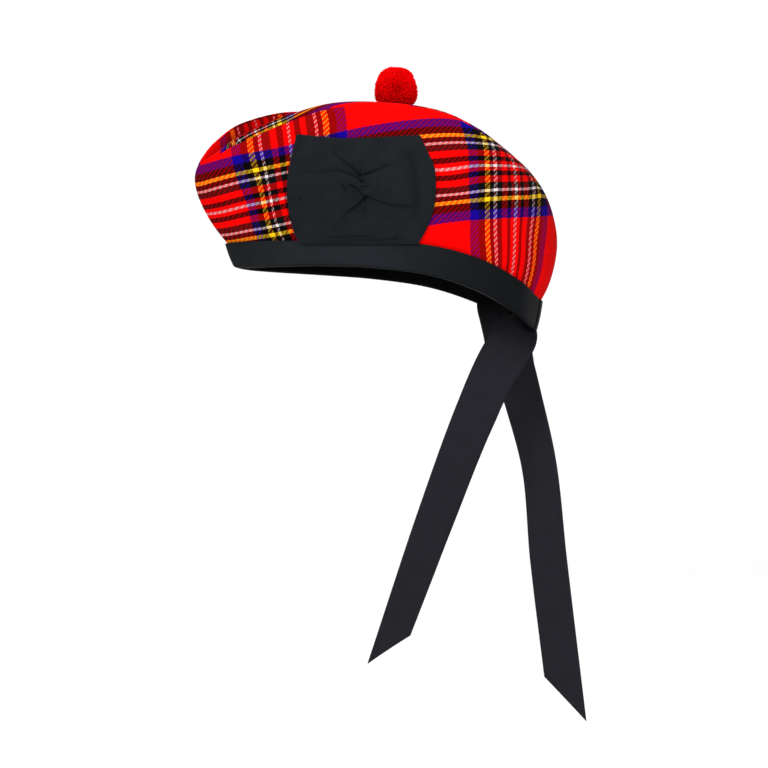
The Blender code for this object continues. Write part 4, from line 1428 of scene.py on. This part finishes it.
# %% Tufts
POMPOM_RADIUS = 0.0150
POMPOM_ALONG = 0.0080
POMPOM_OUT = -0.0155
POMPOM_CENTRE_ABOVE = 0.0120
TUFTS = 5200
TUFT_CORNERS = 3
TUFT_FROM, TUFT_THICK = 0.45, 0.00062
# thickness of the tuft at each ring, as a share
TUFT_RINGS = (0.75, 1.0, 0.95, 0.5)
# how far the tufts stray from an even spread, and in length
WAY_STRAY, REACH_STRAY, LEAN = 0.02, 0.018, 0.05
LUMPS, LOW_FROM, LOW_REACH = 0.035, -0.1, 0.30
CLEAR_OF_TOP = 0.0004


def pompom_reach(way):
    """The ball's radius in a direction: lumpy, and longer where it meets the cap."""
    lump = 1 + LUMPS * math.sin(4.1 * way[0] + 1.3) * math.sin(3.7 * way[1] + 5.2 * way[2])
    return POMPOM_RADIUS * (lump + LOW_REACH * max(0.0, LOW_FROM - way[2]))


def tuft_faces(first):
    faces = []
    for a in range(first, first + TUFT_CORNERS * (len(TUFT_RINGS) - 1), TUFT_CORNERS):
        for corner in range(TUFT_CORNERS):
            b = (corner + 1) % TUFT_CORNERS
            faces.append((a + corner, a + b, a + TUFT_CORNERS + b, a + TUFT_CORNERS + corner))
    tip = first + TUFT_CORNERS * (len(TUFT_RINGS) - 1)
    return faces + [(tip, tip + 1, tip + 2), (first + 2, first + 1, first)]


def make_pompom():
    tree = tree_of(bpy.data.objects["top_cloth"])
    above = Vector((POMPOM_ALONG, POMPOM_OUT, 2 * CROWN_HEIGHT))
    centre = np.array(tree.ray_cast(above, Vector((0, 0, -1)))[0]) + (0, 0, POMPOM_CENTRE_ABOVE)
    chance = np.random.default_rng(7)
    vertices, faces, places_on = [], [], []
    for k in range(TUFTS):
        z = 1 - 2 * (k + 0.5) / TUFTS
        turn = k * math.pi * (3 - math.sqrt(5))
        level = math.sqrt(1 - z * z)
        way = np.array((level * math.cos(turn), level * math.sin(turn), z))
        way += chance.normal(0, WAY_STRAY, 3)
        way /= np.linalg.norm(way)
        reach = pompom_reach(way) * (1 + chance.normal(0, REACH_STRAY))
        side = np.cross(way, (0.3, 0.5, 0.81))
        side /= np.linalg.norm(side)
        other = np.cross(way, side)
        lean = (side * chance.normal() + other * chance.normal()) * LEAN * reach
        tone = chance.random()
        first = len(vertices)
        for ring, share in enumerate(TUFT_RINGS):
            t = ring / (len(TUFT_RINGS) - 1)
            middle = centre + way * reach * (TUFT_FROM + (1 - TUFT_FROM) * t) + lean * t * t
            for corner in range(TUFT_CORNERS):
                angle = 2 * math.pi * corner / TUFT_CORNERS + 2.5 * t + 6 * tone
                across = side * math.cos(angle) + other * math.sin(angle)
                vertices.append(middle + TUFT_THICK * share * across)
                places_on.append((tone, t))
        faces += tuft_faces(first)
    for place in vertices:
        floor = tree.ray_cast(Vector((place[0], place[1], above.z)), Vector((0, 0, -1)))[0]
        if floor is not None and place[2] < floor.z + CLEAR_OF_TOP:
            place[2] = floor.z + CLEAR_OF_TOP
    piece = link_mesh("pompom_yarn", vertices, faces, (make_yarn(),))
    add_map(piece, "cloth_mm", places_on)
    settle(piece, "pompom")


make_pompom()
